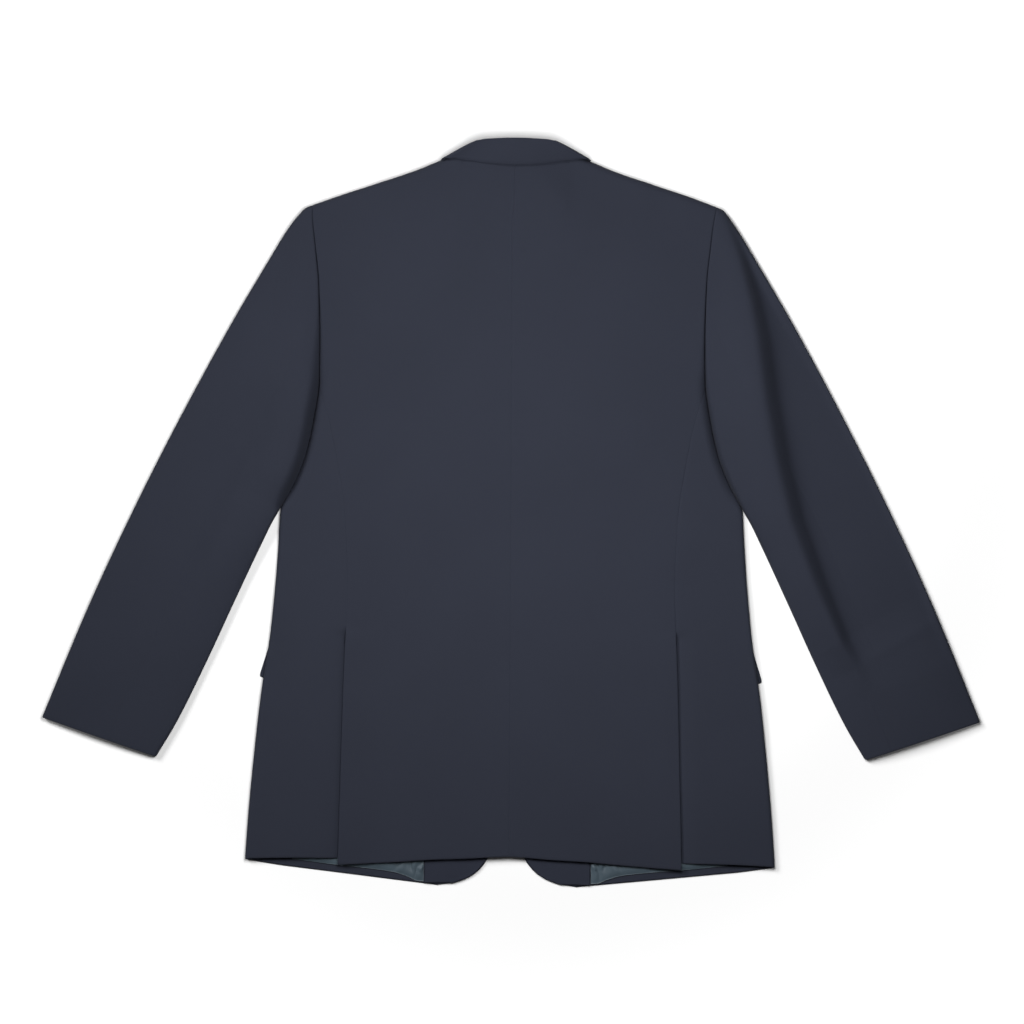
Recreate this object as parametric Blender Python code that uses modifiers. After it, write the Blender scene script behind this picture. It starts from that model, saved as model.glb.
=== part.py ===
"""A two-button suit jacket that lies flat on its front, its back upwards and its sleeves spread.

Sizes are millimetres until a mesh is made. +X runs to the wearer's right sleeve, +Y to the collar,
+Z up from the surface that the jacket lies on. Each half is worked out with x counted outwards from
the middle, then placed on its own side. A panel is a net of points on its outer face, and Solidify
gives the cloth its thickness inwards. The part's origin is the middle of its underside.
"""

import math

import bmesh
import bpy
import numpy as np
from mathutils import Vector

MM = 0.001
LEFT, RIGHT = -1, 1

# Cloth
WALL = 2.0  # wool with its interlining
SLEEVE_WALL = 1.8
FLAP_WALL = 1.8
FACING_WALL = 1.5
LINING_WALL = 1.0
CENTRE_Y = 0.245  # how far the whole's middle lies above the middle that the tables count from
GAP = 0.3  # between pieces that touch, and across a seam
LAYER = WALL + GAP  # from the face of one layer to the face of the next

# Front
BREAK_Y = -40.0  # where the lapel's roll line meets the front edge
OVERLAP = 20.0  # each front edge runs this far past the middle
ROLL_SLOPE = 0.1434  # how fast the roll line leaves the middle, going up
BUTTON_RADIUS, BUTTON_THICK = 10.0, 2.2
BUTTONS = {"button_upper": -54.0, "button_lower": -156.0}
NEAR, FAR = 36.0, 76.0  # a layer is lifted over what lies under it this far around it

# Side vents
VENT_TOP, VENT_CLOSED = -141.0, -131.0
UNDERLAP = 38.0
UNDERLAP_TOP = -150.0

# Armhole and shoulder
SHOULDER_TIP_Y, SHOULDER_RIDGE = 343.0, 16.0
SHOULDER_ROLL = SHOULDER_RIDGE / 2
CROTCH_Y, BACK_SEAM_TOP, FRONT_SEAM_TOP = 3.4, 140.0, 96.0
NECK_POINT_X = 68.0
NECK_POINT_GAP = 0.9  # the shoulder seam opens a little where it meets the neckline
TIP_GAP = 0.45  # and the armhole seam at the shoulder tip's tight turn
ROLL_ANGLES = [0.0, 20.0, 50.0, 90.0]  # round a folded edge, from its outermost line
ARMHOLE_ROWS = [335.0, 302.0, 262.0, 222.0, 181.0, 140.0, 96.0, 50.0]  # y of the sewing marks

# How the garment was laid down: the hem a little aslant, the fronts a little to the left
HEM_SLANT, FRONT_SHIFT = 0.011, -3.5


def table(columns, *rows):
    """A short table whose columns have names."""
    return {name: np.array([row[i] for row in rows], float) for i, name in enumerate(columns.split())}


# Lines of the body, y upwards, x outwards from the middle
SIDE_FOLD = table(
    "y x",
    (-400, 297.2), (-340, 293.0), (-270, 286.5), (-205, 279.2), (-138, 269.4), (-71, 263.2), (3.4, 258.7),
)
BACK_SEAM = table(
    "y x", (-400, 192.3), (-200, 187.0), (-82, 183.3), (0, 187.0), (60, 196.0), (100, 204.2), (140, 215.9)
)
FRONT_SEAM = table("y x", (-400, 252.0), (-200, 234.0), (-37, 217.0), (20, 216.5), (96, 223.2))
ARMHOLE = table(
    "y x",
    (3.4, 258.7), (31, 243.6), (64, 230.7), (104, 221.8),
    (148, 215.8), (200, 215.0), (256, 216.6), (300, 221.0), (343, 226.0),
)
SHOULDER = table("x y", (68, 398.4), (90, 387.4), (115, 380.4), (155, 367.4), (196, 353.9), (226, 343))
SHOULDER_MARKS = [68, 80, 94, 110, 130, 150, 172, 198, 226]  # x of the columns along it
BACK_NECK = table("x y", (0, 393), (40, 394.6), (68, 398.4))
BACK_HEM = table("x y", (0, -386.6), (20, -387.6), (47, -389.5), (84, -391.2), (130, -394.8), (192, -398.7))
SIDE_HEM = table("column y", (-2, -391.5), (0, -391.5), (6, -393.0), (11, -399.0))
FRONT_EDGE = table(
    "y x",
    (-417.3, 78), (-414, 57), (-406.5, 38), (-396.5, 26.5), (-388, 20.4), (-340, 5),
    (-317, -0.5), (-290, -6.5), (-230, -16.5), (-180, -20), (-40, -20), (322, 31.9), (365, 50), (390, 66), (398.4, 68),
)
# Lift of the right front and lapel where they pass over the left ones near the middle
CROSSING = table(
    "y lift", (-375, 0), (-347, 0), (-317, 2.8), (-262, 2.9), (-205, 5.6), (142, 5.6), (250, 0), (400, 0)
)
# Heights of the upper face above the surface: along the middle, and at the side fold or armhole
HEIGHT = table(
    "y crown edge",
    (-400, 10.2, 8.8), (-300, 11.0, 9.0), (-156, 13.4, 9.4), (0, 16.0, 10.0),
    (100, 19.6, 13.5), (220, 23.4, 16.5), (343, 24.6, 16.0), (400, 23.0, 16.0),
)
# Sleeve: its two folded edges, and by rows from armhole to cuff the height of each edge, how far
# the middle stands above them, and where the hindarm seam runs across the upper face
SLEEVE_OUTER = table(
    "y x",
    (-233, 525.3), (-104, 472), (13, 417.8), (114, 366.8), (215, 312), (282, 272.7),
    (316, 252), (333, 239.5), (340, 233), (343, 226),
)
SLEEVE_INNER = table(
    "y x", (-276.6, 397), (-238.6, 374.6), (-171, 341), (-104, 309.7), (-37, 276), (3.4, 258.7)
)
SLEEVE = table(
    "along outer_edge inner_edge crown hindarm",
    (0.00, 16.0, 10.0, 2.6, 0.356), (0.06, 13.0, 9.8, 7.0, 0.38), (0.20, 11.0, 9.5, 9.5, 0.44),
    (0.45, 9.6, 9.2, 8.0, 0.52), (0.70, 9.2, 9.0, 6.0, 0.56), (1.00, 9.0, 9.0, 3.4, 0.58),
)
SLEEVE_ROWS = [0, 0.014, 0.04, 0.08, 0.13, 0.19, 0.26, 0.33, 0.4, 0.47, 0.54, 0.61, 0.68, 0.76, 0.84, 0.92, 1]
# The long crease of each sleeve: its place along and across the upper face, and its depth
CREASE_WIDTH = 0.085  # of the sleeve's width, from the bottom of the trough to its slope
CREASES = {
    RIGHT: table(
        "along across depth",
        (0.04, -0.01, 1.5), (0.113, 0.042, 3.2), (0.205, 0.195, 4.0), (0.296, 0.419, 4.0), (0.358, 0.528, 3.7),
        (0.435, 0.591, 3.2), (0.616, 0.652, 2.9), (0.786, 0.713, 2.0), (1.0, 0.76, 0.0),
    ),
    LEFT: table(
        "along across depth",
        (0.1, 0.2, 0.0), (0.171, 0.375, 1.4), (0.205, 0.475, 1.8), (0.277, 0.565, 2.0), (0.365, 0.636, 1.8),
        (0.509, 0.692, 1.2), (0.7, 0.73, 0.0), (1.0, 0.76, 0.0),
    ),
}
# Collar and lapel on the underside
GORGE_ROLL, GORGE_NOTCH = (31.9, 322.0), (80.0, 304.0)
COLLAR_CORNER, LAPEL_TIP = (103.0, 331.0), (132.0, 288.0)
LAPEL_EDGE = table("y x", (-40, -20), (20, 6), (100, 54), (190, 100), (288, 132))
COLLAR_TOP, COLLAR_SIDE = (45.0, 416.0), (90.6, 391.4)  # the slanted side of its outline
LEAF_EDGE = table("x y", (0, 387.5), (20, 389), (46, 393.0))
# The stand's lower edge round the side of the neck: angle round the fold, and the point
NECK_RIM = [
    (90, (54.0, 397.4, 20.6)), (60, (58.8, 398.3, 17.2)), (30, (63.4, 399.0, 13.8)), (0, (67.2, 399.6, 10.3)),
    (-30, (67.2, 398.7, 6.6)), (-60, (67.1, 396.6, 3.8)), (-90, (65.0, 391.2, 2.3)),
]
# Pocket flap, corners in order round it
FLAP = [(282.5, -189.5), (128.0, -198.0), (122.0, -143.0), (266.5, -137.0)]

NAVY = (0.024, 0.028, 0.043, 1.0)
LINING_BLUE = (0.065, 0.092, 0.115, 1.0)
BUTTON_HORN = (0.014, 0.015, 0.020, 1.0)


def ease(t):
    """From 0 to 1, leaving and arriving level."""
    t = min(1.0, max(0.0, t))
    return t * t * (3 - 2 * t)


def mix(a, b, t):
    return a + (b - a) * t


def read(rows, key, value, at):
    """Reads a table between its rows on a smooth curve that never overshoots them."""
    xs, ys = rows[key], rows[value]
    step = np.diff(xs)
    rise = np.diff(ys) / step
    slope = np.empty(len(xs))
    slope[0], slope[-1] = rise[0], rise[-1]
    for i in range(1, len(xs) - 1):
        before, after = rise[i - 1], rise[i]
        if before * after <= 0:
            slope[i] = 0
        else:
            near, far = 2 * step[i] + step[i - 1], step[i] + 2 * step[i - 1]
            slope[i] = (near + far) / (near / before + far / after)
    i = int(np.clip(np.searchsorted(xs, at) - 1, 0, len(step) - 1))
    if at <= xs[0]:
        return float(ys[0] + slope[0] * (at - xs[0]))
    if at >= xs[-1]:
        return float(ys[-1] + slope[-1] * (at - xs[-1]))
    t = (at - xs[i]) / step[i]
    return float(
        ys[i] * (1 + 2 * t) * (1 - t) ** 2 + step[i] * slope[i] * t * (1 - t) ** 2
        + ys[i + 1] * t * t * (3 - 2 * t) + step[i] * slope[i + 1] * t * t * (t - 1)
    )


def distance_to(outline, x, y):
    """How far a point lies outside a closed outline, 0 inside it."""
    inside, nearest = False, 1e9
    for (x1, y1), (x2, y2) in zip(outline, outline[1:] + outline[:1]):
        if (y1 > y) != (y2 > y) and x < x1 + (y - y1) * (x2 - x1) / (y2 - y1):
            inside = not inside
        length = (x2 - x1) ** 2 + (y2 - y1) ** 2
        t = min(1.0, max(0.0, ((x - x1) * (x2 - x1) + (y - y1) * (y2 - y1)) / length))
        nearest = min(nearest, math.hypot(x - x1 - t * (x2 - x1), y - y1 - t * (y2 - y1)))
    return 0.0 if inside else nearest


def near(distance):
    """1 over and close around something, 0 far from it."""
    return 1 - ease((distance - NEAR) / (FAR - NEAR))


def fold_x(y):
    return read(SIDE_FOLD, "y", "x", min(y, CROTCH_Y))


def armhole_x(y):
    return read(ARMHOLE, "y", "x", min(y, SHOULDER_TIP_Y))


def roll_x(y):
    """The lapel's roll line."""
    return -OVERLAP + ROLL_SLOPE * (y - BREAK_Y)


def lapel_outline():
    edge = [(read(LAPEL_EDGE, "y", "x", y), y) for y in (20, 100, 190)]
    return [(-OVERLAP, BREAK_Y), *edge, LAPEL_TIP, GORGE_NOTCH, GORGE_ROLL]


def collar_outline():
    return [GORGE_ROLL, GORGE_NOTCH, COLLAR_CORNER, COLLAR_SIDE, COLLAR_TOP]


LAPEL_OUTLINE, COLLAR_OUTLINE = lapel_outline(), collar_outline()


def turned_out(x, y):
    """1 where the collar or the lapel lies under the front."""
    return near(min(distance_to(LAPEL_OUTLINE, x, y), distance_to(COLLAR_OUTLINE, x, y)))


def front_edge_x(y):
    return read(FRONT_EDGE, "y", "x", y)


def over_left_front(x, y):
    """How far the right side is lifted where it passes over the left front's edge."""
    if not CROSSING["y"][0] < y < CROSSING["y"][-1]:
        return 0.0
    return float(np.interp(y, CROSSING["y"], CROSSING["lift"])) * min(1.0, max(0.0, (118 - x) / 110))


def lapel_lift(x, y, side):
    """Height of a lapel's outer face."""
    return over_left_front(x, y) if side == RIGHT else 0.0


def button_lift(x, y):
    return max(near(max(0.0, math.hypot(x, y - at) - BUTTON_RADIUS)) for at in BUTTONS.values())


def front_lift(x, y, side):
    """Height of a front's outer face above the surface."""
    under = max(turned_out(x, y), near(distance_to(FLAP, x, y)))
    if side == LEFT:
        return max(LAYER * under, (BUTTON_THICK + GAP) * button_lift(x, y))
    return lapel_lift(x, y, side) + LAYER * under


def shoulder_y(x):
    """The shoulder line, and above the neck a line that only steadies the back's height."""
    if x < NECK_POINT_X:
        return read(SHOULDER, "x", "y", NECK_POINT_X) + 1.2 * (NECK_POINT_X - x)
    return read(SHOULDER, "x", "y", x)


def ridge(x):
    """Bottom and top of the rolled shoulder."""
    low = LAYER * near(distance_to(COLLAR_OUTLINE, x, shoulder_y(x)))
    return low, SHOULDER_RIDGE + low


def fold_radius(y):
    low = LAYER * near(distance_to(FLAP, fold_x(y), y))
    return (read(HEIGHT, "y", "edge", y) - low) / 2


def back_height(x, y):
    """Height of the upper outer face, away from the rolled edges."""
    reach = fold_x(y) - fold_radius(min(y, CROTCH_Y))
    if y > CROTCH_Y:
        reach = min(reach, armhole_x(y))
    edge, crown = read(HEIGHT, "y", "edge", y), read(HEIGHT, "y", "crown", y)
    level = edge + (crown - edge) * (1 - min(1.0, x / reach) ** 3) ** 2
    top = ridge(x)[1]
    return mix(top, level, ease((shoulder_y(x) - y - SHOULDER_ROLL) / 75))


def vent(y):
    """1 where the side vent is open."""
    return ease((VENT_CLOSED - y) / (VENT_CLOSED - VENT_TOP))


def roll_point(angle):
    """Round a folded edge: how far in from it, and how high up from its middle, per radius."""
    if angle <= ROLL_ANGLES[1]:
        return 0.0, math.sin(math.radians(angle))
    return 1 - math.cos(math.radians(angle)), math.sin(math.radians(angle))


def armhole_ring(upper):
    """The armhole from the shoulder tip to the crotch, over the upper or the under face."""
    points = []
    for angle in ROLL_ANGLES:
        back, up = roll_point(angle)
        y = SHOULDER_TIP_Y - back * SHOULDER_ROLL
        points.append((armhole_x(y), y, SHOULDER_ROLL * (1 + up if upper else 1 - up)))
    for y in ARMHOLE_ROWS[1:]:
        points.append((armhole_x(y), y, back_height(armhole_x(y), y) if upper else 0.0))
    radius, fold = fold_radius(CROTCH_Y), fold_x(CROTCH_Y)
    for angle in reversed(ROLL_ANGLES):
        x = fold - radius + radius * math.cos(math.radians(angle))
        low, high = CROTCH_Y, ARMHOLE_ROWS[-1]
        for _ in range(40):
            middle = (low + high) / 2
            low, high = (middle, high) if armhole_x(middle) > x else (low, middle)
        z = radius * (1 + math.sin(math.radians(angle)) * (1 if upper else -1))
        points.append((x, low if angle else CROTCH_Y, z))
    return points


UPPER_RING, UNDER_RING = armhole_ring(True), armhole_ring(False)
BACK_MARK = 3 + ARMHOLE_ROWS.index(BACK_SEAM_TOP)  # where the side panel begins on each ring
FRONT_MARK = 3 + ARMHOLE_ROWS.index(FRONT_SEAM_TOP)

# Rows of the body, as y at the side-back seam
SEAM_ROWS = [-391.5, -383.5, -373, -360, -325, -290, -255, -222, -190, -167, UNDERLAP_TOP, VENT_TOP,
             VENT_CLOSED, -100, -68, -36, -4, 30, 66, 103, BACK_SEAM_TOP]
SEAM_PARTS = [(y - SEAM_ROWS[0]) / (SEAM_ROWS[-1] - SEAM_ROWS[0]) for y in SEAM_ROWS]
FRONT_SEAM_HEM = -399.0


def drawn_in(point, k):
    """A point of the armhole on the body, a little further in at the shoulder tip."""
    return (point[0] - TIP_GAP, *point[1:]) if k <= 3 else point


def back_net():
    """Half of the back, from the middle seam outwards and from the hem up to the shoulder."""
    columns = [0, 0.12, 0.24] + [x / SHOULDER_MARKS[-1] for x in SHOULDER_MARKS]
    low_rows = [None, -340, -280, -220, -170] + SEAM_ROWS[SEAM_ROWS.index(VENT_TOP) : -1]
    net = []
    for row in low_rows:
        points = []
        for s in columns:
            hem = read(BACK_HEM, "x", "y", 192 * s)
            y = hem if row is None else row
            seam = read(BACK_SEAM, "y", "x", y)
            x = s * seam
            lift = ease(1 - (seam - x) / 40) * vent(y)
            points.append((x, y, back_height(x, y) + lift))
        net.append(points)
    for k in range(BACK_MARK, -1, -1):
        points = []
        for s in columns:
            x_top = s * UPPER_RING[0][0]
            rolled = ease((x_top - 54) / (NECK_POINT_X - 54))
            top = read(SHOULDER if rolled > 0.5 else BACK_NECK, "x", "y", x_top)
            if s == 1.0:
                points.append(drawn_in(UPPER_RING[k], k))
                continue
            if k <= 3:
                back, up = roll_point(ROLL_ANGLES[k])
                y = top - mix((0, 2.5, 5.5, 10)[k], back * SHOULDER_ROLL, rolled)
            else:
                start = top - mix(10, SHOULDER_ROLL, rolled)
                part = (335 - UPPER_RING[k][1]) / (335 - BACK_SEAM_TOP)
                y = mix(start, BACK_SEAM_TOP, part)
            x = s * UPPER_RING[k][0]
            z = back_height(x, y)
            if k <= 3 and rolled > 0:
                low, high = ridge(x)
                z = mix(z, mix(low, high, (1 + up) / 2), rolled)
                if k == 0:
                    z += NECK_POINT_GAP * ease((86 - x_top) / 16)
            points.append((x, y, z))
        net.append(points)
    return net


def side_net():
    """A side panel, from the side-back seam round the side fold to the front seam beneath."""
    top = UPPER_RING[BACK_MARK:] + UNDER_RING[FRONT_MARK:-1][::-1]
    over = len(UPPER_RING) - BACK_MARK  # columns on the upper face, with the fold's upper half
    flat = over - len(ROLL_ANGLES) + 1
    angles = [90 - a for a in reversed(ROLL_ANGLES)] + [90 + a for a in ROLL_ANGLES[1:]]
    hem_parts = [0, 0.3, 0.66]
    net = []
    for row, part in enumerate(SEAM_PARTS):
        points = []
        for column, end in enumerate(top):
            hem = read(SIDE_HEM, "column", "y", column)
            y = mix(hem, end[1], part)
            fold, radius = fold_x(y), fold_radius(min(y, CROTCH_Y))
            inner = fold - radius
            seam = read(BACK_SEAM, "y", "x", y)
            if part == 1.0:
                points.append(end)
            elif column < flat - 1:
                at_top = (end[0] - read(BACK_SEAM, "y", "x", end[1])) / (
                    fold_x(CROTCH_Y) - fold_radius(CROTCH_Y) - read(BACK_SEAM, "y", "x", end[1])
                )
                x = mix(seam, inner, mix(hem_parts[column], at_top, part * part))
                drop = 1.6 * ease(1 - (x - seam) / 22) * vent(y)
                points.append((x, y, back_height(x, y) - drop))
            elif column < flat - 1 + len(angles):
                turn = math.radians(angles[column - flat + 1])
                low = LAYER * near(distance_to(FLAP, fold, y))
                height = read(HEIGHT, "y", "edge", y)
                z = mix(low, height, (1 + math.cos(turn)) / 2)
                points.append((inner + radius * math.sin(turn), y, z))
            else:
                step = column - (flat - 1 + len(angles)) + 1
                x_front = read(FRONT_SEAM, "y", "x", y)
                at_top = (inner - end[0]) / (inner - read(FRONT_SEAM, "y", "x", end[1]))
                x = mix(inner, x_front, mix(step / 2, at_top, part * part))
                points.append((x, y, LAYER * near(distance_to(FLAP, x, y))))
        net.append(points)
    return net


def underlap_net(net):
    """The vent's underlap: columns that run on from the side-back seam, under the back."""
    strips = []
    for row, y in enumerate(SEAM_ROWS):
        if y > UNDERLAP_TOP:
            break
        x0, y0, z0 = net[row][0]
        points = []
        for part in (1.0, 0.5):
            x = x0 - UNDERLAP * part
            lift = ease(1 - (x0 - x) / 40) * vent(y)
            points.append((x, y0, back_height(x, y0) + lift - WALL - 2 * GAP))
        strips.append(points)
    return strips


def front_net(side):
    """A front, from its edge or roll line out to the side seam and up to the shoulder."""
    first, last = SHOULDER_MARKS[0], SHOULDER_MARKS[-1]
    columns = [(x - first) / (last - first) for x in SHOULDER_MARKS]
    net = []
    for part in SEAM_PARTS[:-1]:
        y_side = mix(FRONT_SEAM_HEM, FRONT_SEAM_TOP, part)
        y_edge = mix(-417.3, 96.0, part**1.2)
        ends = (front_edge_x(y_edge), y_edge), (read(FRONT_SEAM, "y", "x", y_side), y_side)
        row = [(mix(ends[0][0], ends[1][0], s), mix(y_edge, y_side, s)) for s in columns]
        net.append([(x, y, front_lift(x, y, side)) for x, y in row])
    neck_y = read(SHOULDER, "x", "y", NECK_POINT_X)
    edge_y = [neck_y, neck_y, neck_y - 3, neck_y - 8, 365, 322, 282, 235, 185, 142, 96]
    for k in range(FRONT_MARK, -1, -1):
        x_side, y_side, _ = UNDER_RING[k]
        back, up = roll_point(ROLL_ANGLES[k]) if k <= 3 else (1.0, 1.0)
        fade = 1.0 if k <= 3 else ease((9 - k) / 7)
        x_edge = front_edge_x(edge_y[k])
        points = []
        for s in columns:
            x = mix(x_edge, x_side, s)
            line = shoulder_y(mix(first, last, s)) - mix(neck_y, SHOULDER_TIP_Y, s)
            y = mix(edge_y[k], y_side, s) + fade * line
            z = front_lift(x, y, side)
            if k < 3:
                x = mix(first, last, s)
                low, high = ridge(x)
                y = shoulder_y(x) - back * SHOULDER_ROLL
                z = mix(high, low, (1 + up) / 2)
            points.append((x, y, z) if s < 1 else drawn_in(UNDER_RING[k], k))
        net.append(points)
    return net


def lapel_net(side):
    """The turned-out lapel, from the break point up to the gorge."""
    rows = [0, 0.08, 0.2, 0.35, 0.5, 0.65, 0.8, 0.92, 1.0]
    columns = [0, 0.22, 0.48, 0.74, 1.0]
    net = []
    for part in rows:
        y_roll, y_edge = mix(BREAK_Y + 12, GORGE_ROLL[1], part), mix(BREAK_Y + 8, LAPEL_TIP[1], part)
        x_roll, x_edge = roll_x(y_roll) + 0.4, read(LAPEL_EDGE, "y", "x", y_edge)
        points = []
        for s in columns:
            x, y = mix(x_roll, x_edge, s), mix(y_roll, y_edge, s)
            if s < columns[2]:
                gorge = mix(GORGE_ROLL[1], GORGE_NOTCH[1], s / columns[2])
            else:
                gorge = mix(GORGE_NOTCH[1], LAPEL_TIP[1], (s - columns[2]) / (1 - columns[2]))
            y += (gorge - GAP - mix(GORGE_ROLL[1], LAPEL_TIP[1], s)) * ease((part - 0.7) / 0.3)
            points.append((x, y, lapel_lift(x, y, side)))
        net.append(points)
    return net


def on_front(net, side, rise):
    """A net moved out from the inside of a front."""
    return [[(x, y, front_lift(x, y, side) + rise) for x, y in row] for row in net]


def facing_net(side):
    """The facing inside the front edge, where it shows at the hem."""
    net = []
    top = -361.0
    for y_edge in (-411.5, -407, -400, -390, -377, top):
        x_edge = front_edge_x(y_edge) + 2.0
        y_in = mix(-412.5, top, (y_edge + 411.5) / (top + 411.5))
        net.append([(mix(x_edge, 93.0, s), mix(y_edge, y_in, s)) for s in (0, 0.3, 0.65, 1.0)])
    return on_front(net, side, LAYER)


def lining_net(side):
    """The lining beyond the facing, where it shows at the hem."""
    hem = table("x y", (93.6, -410.0), (122, -405.8), (150, -402.2), (195, -398.0), (244, -391.5))
    net = []
    for part in (0, 0.25, 0.6, 1.0):
        row = []
        for x in (93.6, 108, 130, 155, 182, 212, 244):
            row.append((x, mix(read(hem, "x", "y", x), -361.0, part)))
        net.append(row)
    return on_front(net, side, LAYER)


def flap_net():
    """A pocket flap: its rear corner reaches past the side fold."""
    rear_low, front_low, front_high, rear_high = FLAP
    net = []
    for t in (0, 0.1, 0.35, 0.7, 1.0):
        row = []
        for s in (0, 0.06, 0.3, 0.7, 0.94, 1.0):
            x = mix(mix(front_low[0], rear_low[0], s), mix(front_high[0], rear_high[0], s), t)
            y = mix(mix(front_low[1], rear_low[1], s), mix(front_high[1], rear_high[1], s), t)
            if t == 0 and s in (0, 1.0):
                x, y = (x + 2.5, y + 1.5) if s == 0 else (x - 1.0, y + 1.0)
            row.append((x, y, 0.0))
        net.append(row)
    return net


def crease_depth(across, along, side):
    """How deep a sleeve's upper face is pressed in along its crease."""
    rows = CREASES[side]
    offset = (across - read(rows, "along", "across", along)) / CREASE_WIDTH
    fade = ease(across / 0.12) * ease((1 - across) / 0.12) * ease(along / 0.04)
    return max(0.0, read(rows, "along", "depth", along)) * fade * math.exp(-offset * offset)


def sleeve_point(across, along, upper, side):
    """A point of the sleeve: across from its outer to its inner edge, along from the armhole."""
    outer_y = mix(SHOULDER_TIP_Y, SLEEVE_OUTER["y"][0], along)
    inner_y = mix(CROTCH_Y, SLEEVE_INNER["y"][0], along)
    outer = Vector((read(SLEEVE_OUTER, "y", "x", outer_y), outer_y))
    inner = Vector((read(SLEEVE_INNER, "y", "x", inner_y), inner_y))
    width = (outer - inner).length
    outer_high = read(SLEEVE, "along", "outer_edge", along)
    inner_high = read(SLEEVE, "along", "inner_edge", along)
    kind, value = across
    if kind == "outer":
        back, up = roll_point(value)
        part, middle = back * outer_high / 2 / width, outer_high / 2
    elif kind == "inner":
        back, up = roll_point(value)
        part, middle = 1 - back * inner_high / 2 / width, inner_high / 2
    else:
        start, end = outer_high / 2 / width, 1 - inner_high / 2 / width
        part, up = mix(start, end, value), 1.0
        middle = mix(outer_high, inner_high, part) / 2
    y_ring = mix(SHOULDER_TIP_Y, CROTCH_Y, part)
    chord = mix(UPPER_RING[0][0], UPPER_RING[-1][0], part)
    bulge = (armhole_x(y_ring) - chord) * (1 - ease(along / 0.5))
    place = outer.lerp(inner, part)
    z = middle * (1 + up if upper else 1 - up)
    if upper and kind == "flat":
        z += read(SLEEVE, "along", "crown", along) * (4 * value * (1 - value)) ** 0.8
        z -= crease_depth(value, along, side)
    return place.x + bulge, place.y, z


def with_middles(values, first, last):
    """A list with a middle value put between each two from first to last."""
    made = values[:first]
    for low, high in zip(values[first:last], values[first + 1 : last + 1]):
        middle = tuple(mix(a, b, 0.5) for a, b in zip(low, high)) if isinstance(low, tuple) else mix(low, high, 0.5)
        made += [low, middle]
    return made + values[last:]


def sleeve_nets(side):
    """The top sleeve and the under sleeve, each a net from the hindarm seam round its own edge."""
    plateau = [(335 - y) / (335 - UPPER_RING[-4][1]) for y in ARMHOLE_ROWS] + [1.0]
    last_mark = len(plateau) - 1
    hindarm_at, forearm_at = 3, 6  # their places among the plateau's marks
    tops, unders = [], []
    for along in SLEEVE_ROWS:
        seam = read(SLEEVE, "along", "hindarm", along)
        part = [v / plateau[hindarm_at] * seam for v in plateau[: hindarm_at + 1]]
        rest = plateau[hindarm_at:]
        part += [seam + (v - rest[0]) / (1 - rest[0]) * (1 - seam) for v in rest[1:]]
        part = with_middles(part, 0, last_mark)
        upper = [sleeve_point(("outer", a), along, True, side) for a in ROLL_ANGLES[:3]]
        upper += [sleeve_point(("flat", v), along, True, side) for v in part]
        upper += [sleeve_point(("inner", a), along, True, side) for a in reversed(ROLL_ANGLES[:3])]
        under = [sleeve_point(("outer", a), along, False, side) for a in ROLL_ANGLES[:3]]
        under += [sleeve_point(("flat", v), along, False, side) for v in plateau]
        under += [sleeve_point(("inner", a), along, False, side) for a in reversed(ROLL_ANGLES[:3])]
        if along == 0:
            upper, under = with_middles(UPPER_RING, 3, 3 + last_mark), UNDER_RING
        hindarm, forearm = 3 + 2 * hindarm_at, 3 + forearm_at
        tops.append(upper[hindarm::-1] + under[1 : forearm + 1])
        unders.append(upper[hindarm:] + under[-2 : forearm - 1 : -1])
    return tops, unders


def gorge_line(part):
    """The gorge from the roll line to the notch, and on to the collar's corner."""
    if part <= 0.65:
        return tuple(mix(GORGE_ROLL[i], GORGE_NOTCH[i], part / 0.65) for i in (0, 1))
    return tuple(mix(GORGE_NOTCH[i], COLLAR_CORNER[i], (part - 0.65) / 0.35) for i in (0, 1))


def collar_net():
    """The leaf of the collar, from the middle round the side of the neck to its front end."""
    top, side = Vector(COLLAR_TOP), Vector(COLLAR_SIDE)
    outwards = Vector((top - side).orthogonal()).normalized() * -1
    parts = [0, 0.3, 0.65, 1.0]
    net = []
    for x in (0, 14, 28):
        fold = x, mix(418.3, 416.4, x / 36), mix(36, 35, x / 36)
        edge_x = x * 1.25
        edge_y = read(LEAF_EDGE, "x", "y", edge_x)
        edge = edge_x, edge_y, back_height(edge_x, edge_y) + LAYER + 0.5
        row = []
        for q in parts:
            bow = 1.6 * 4 * q * (1 - q)
            row.append((mix(fold[0], edge[0], q), mix(fold[1], edge[1], q), mix(fold[2], edge[2], q) + bow))
        net.append(row)
    for angle in (90, 60, 30, 0, -30, -60, -90):
        turn = math.radians(angle)
        row = []
        for q in parts:
            wide, tall = mix(4.0, 10.0, q), mix(17.0, 10.4, q)
            place = top.lerp(side, q) + outwards * wide * (math.cos(turn) - 1)
            row.append((place.x, place.y, tall * (1 + math.sin(turn))))
        net.append(row)
    last = net[-1]
    for t in (0.33, 0.67, 1.0):
        ends = [gorge_line(q) for q in parts]
        net.append([(mix(p[0], e[0], t), mix(p[1], e[1] + GAP, t), 0.0) for p, e in zip(last, ends)])
    return net


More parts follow.
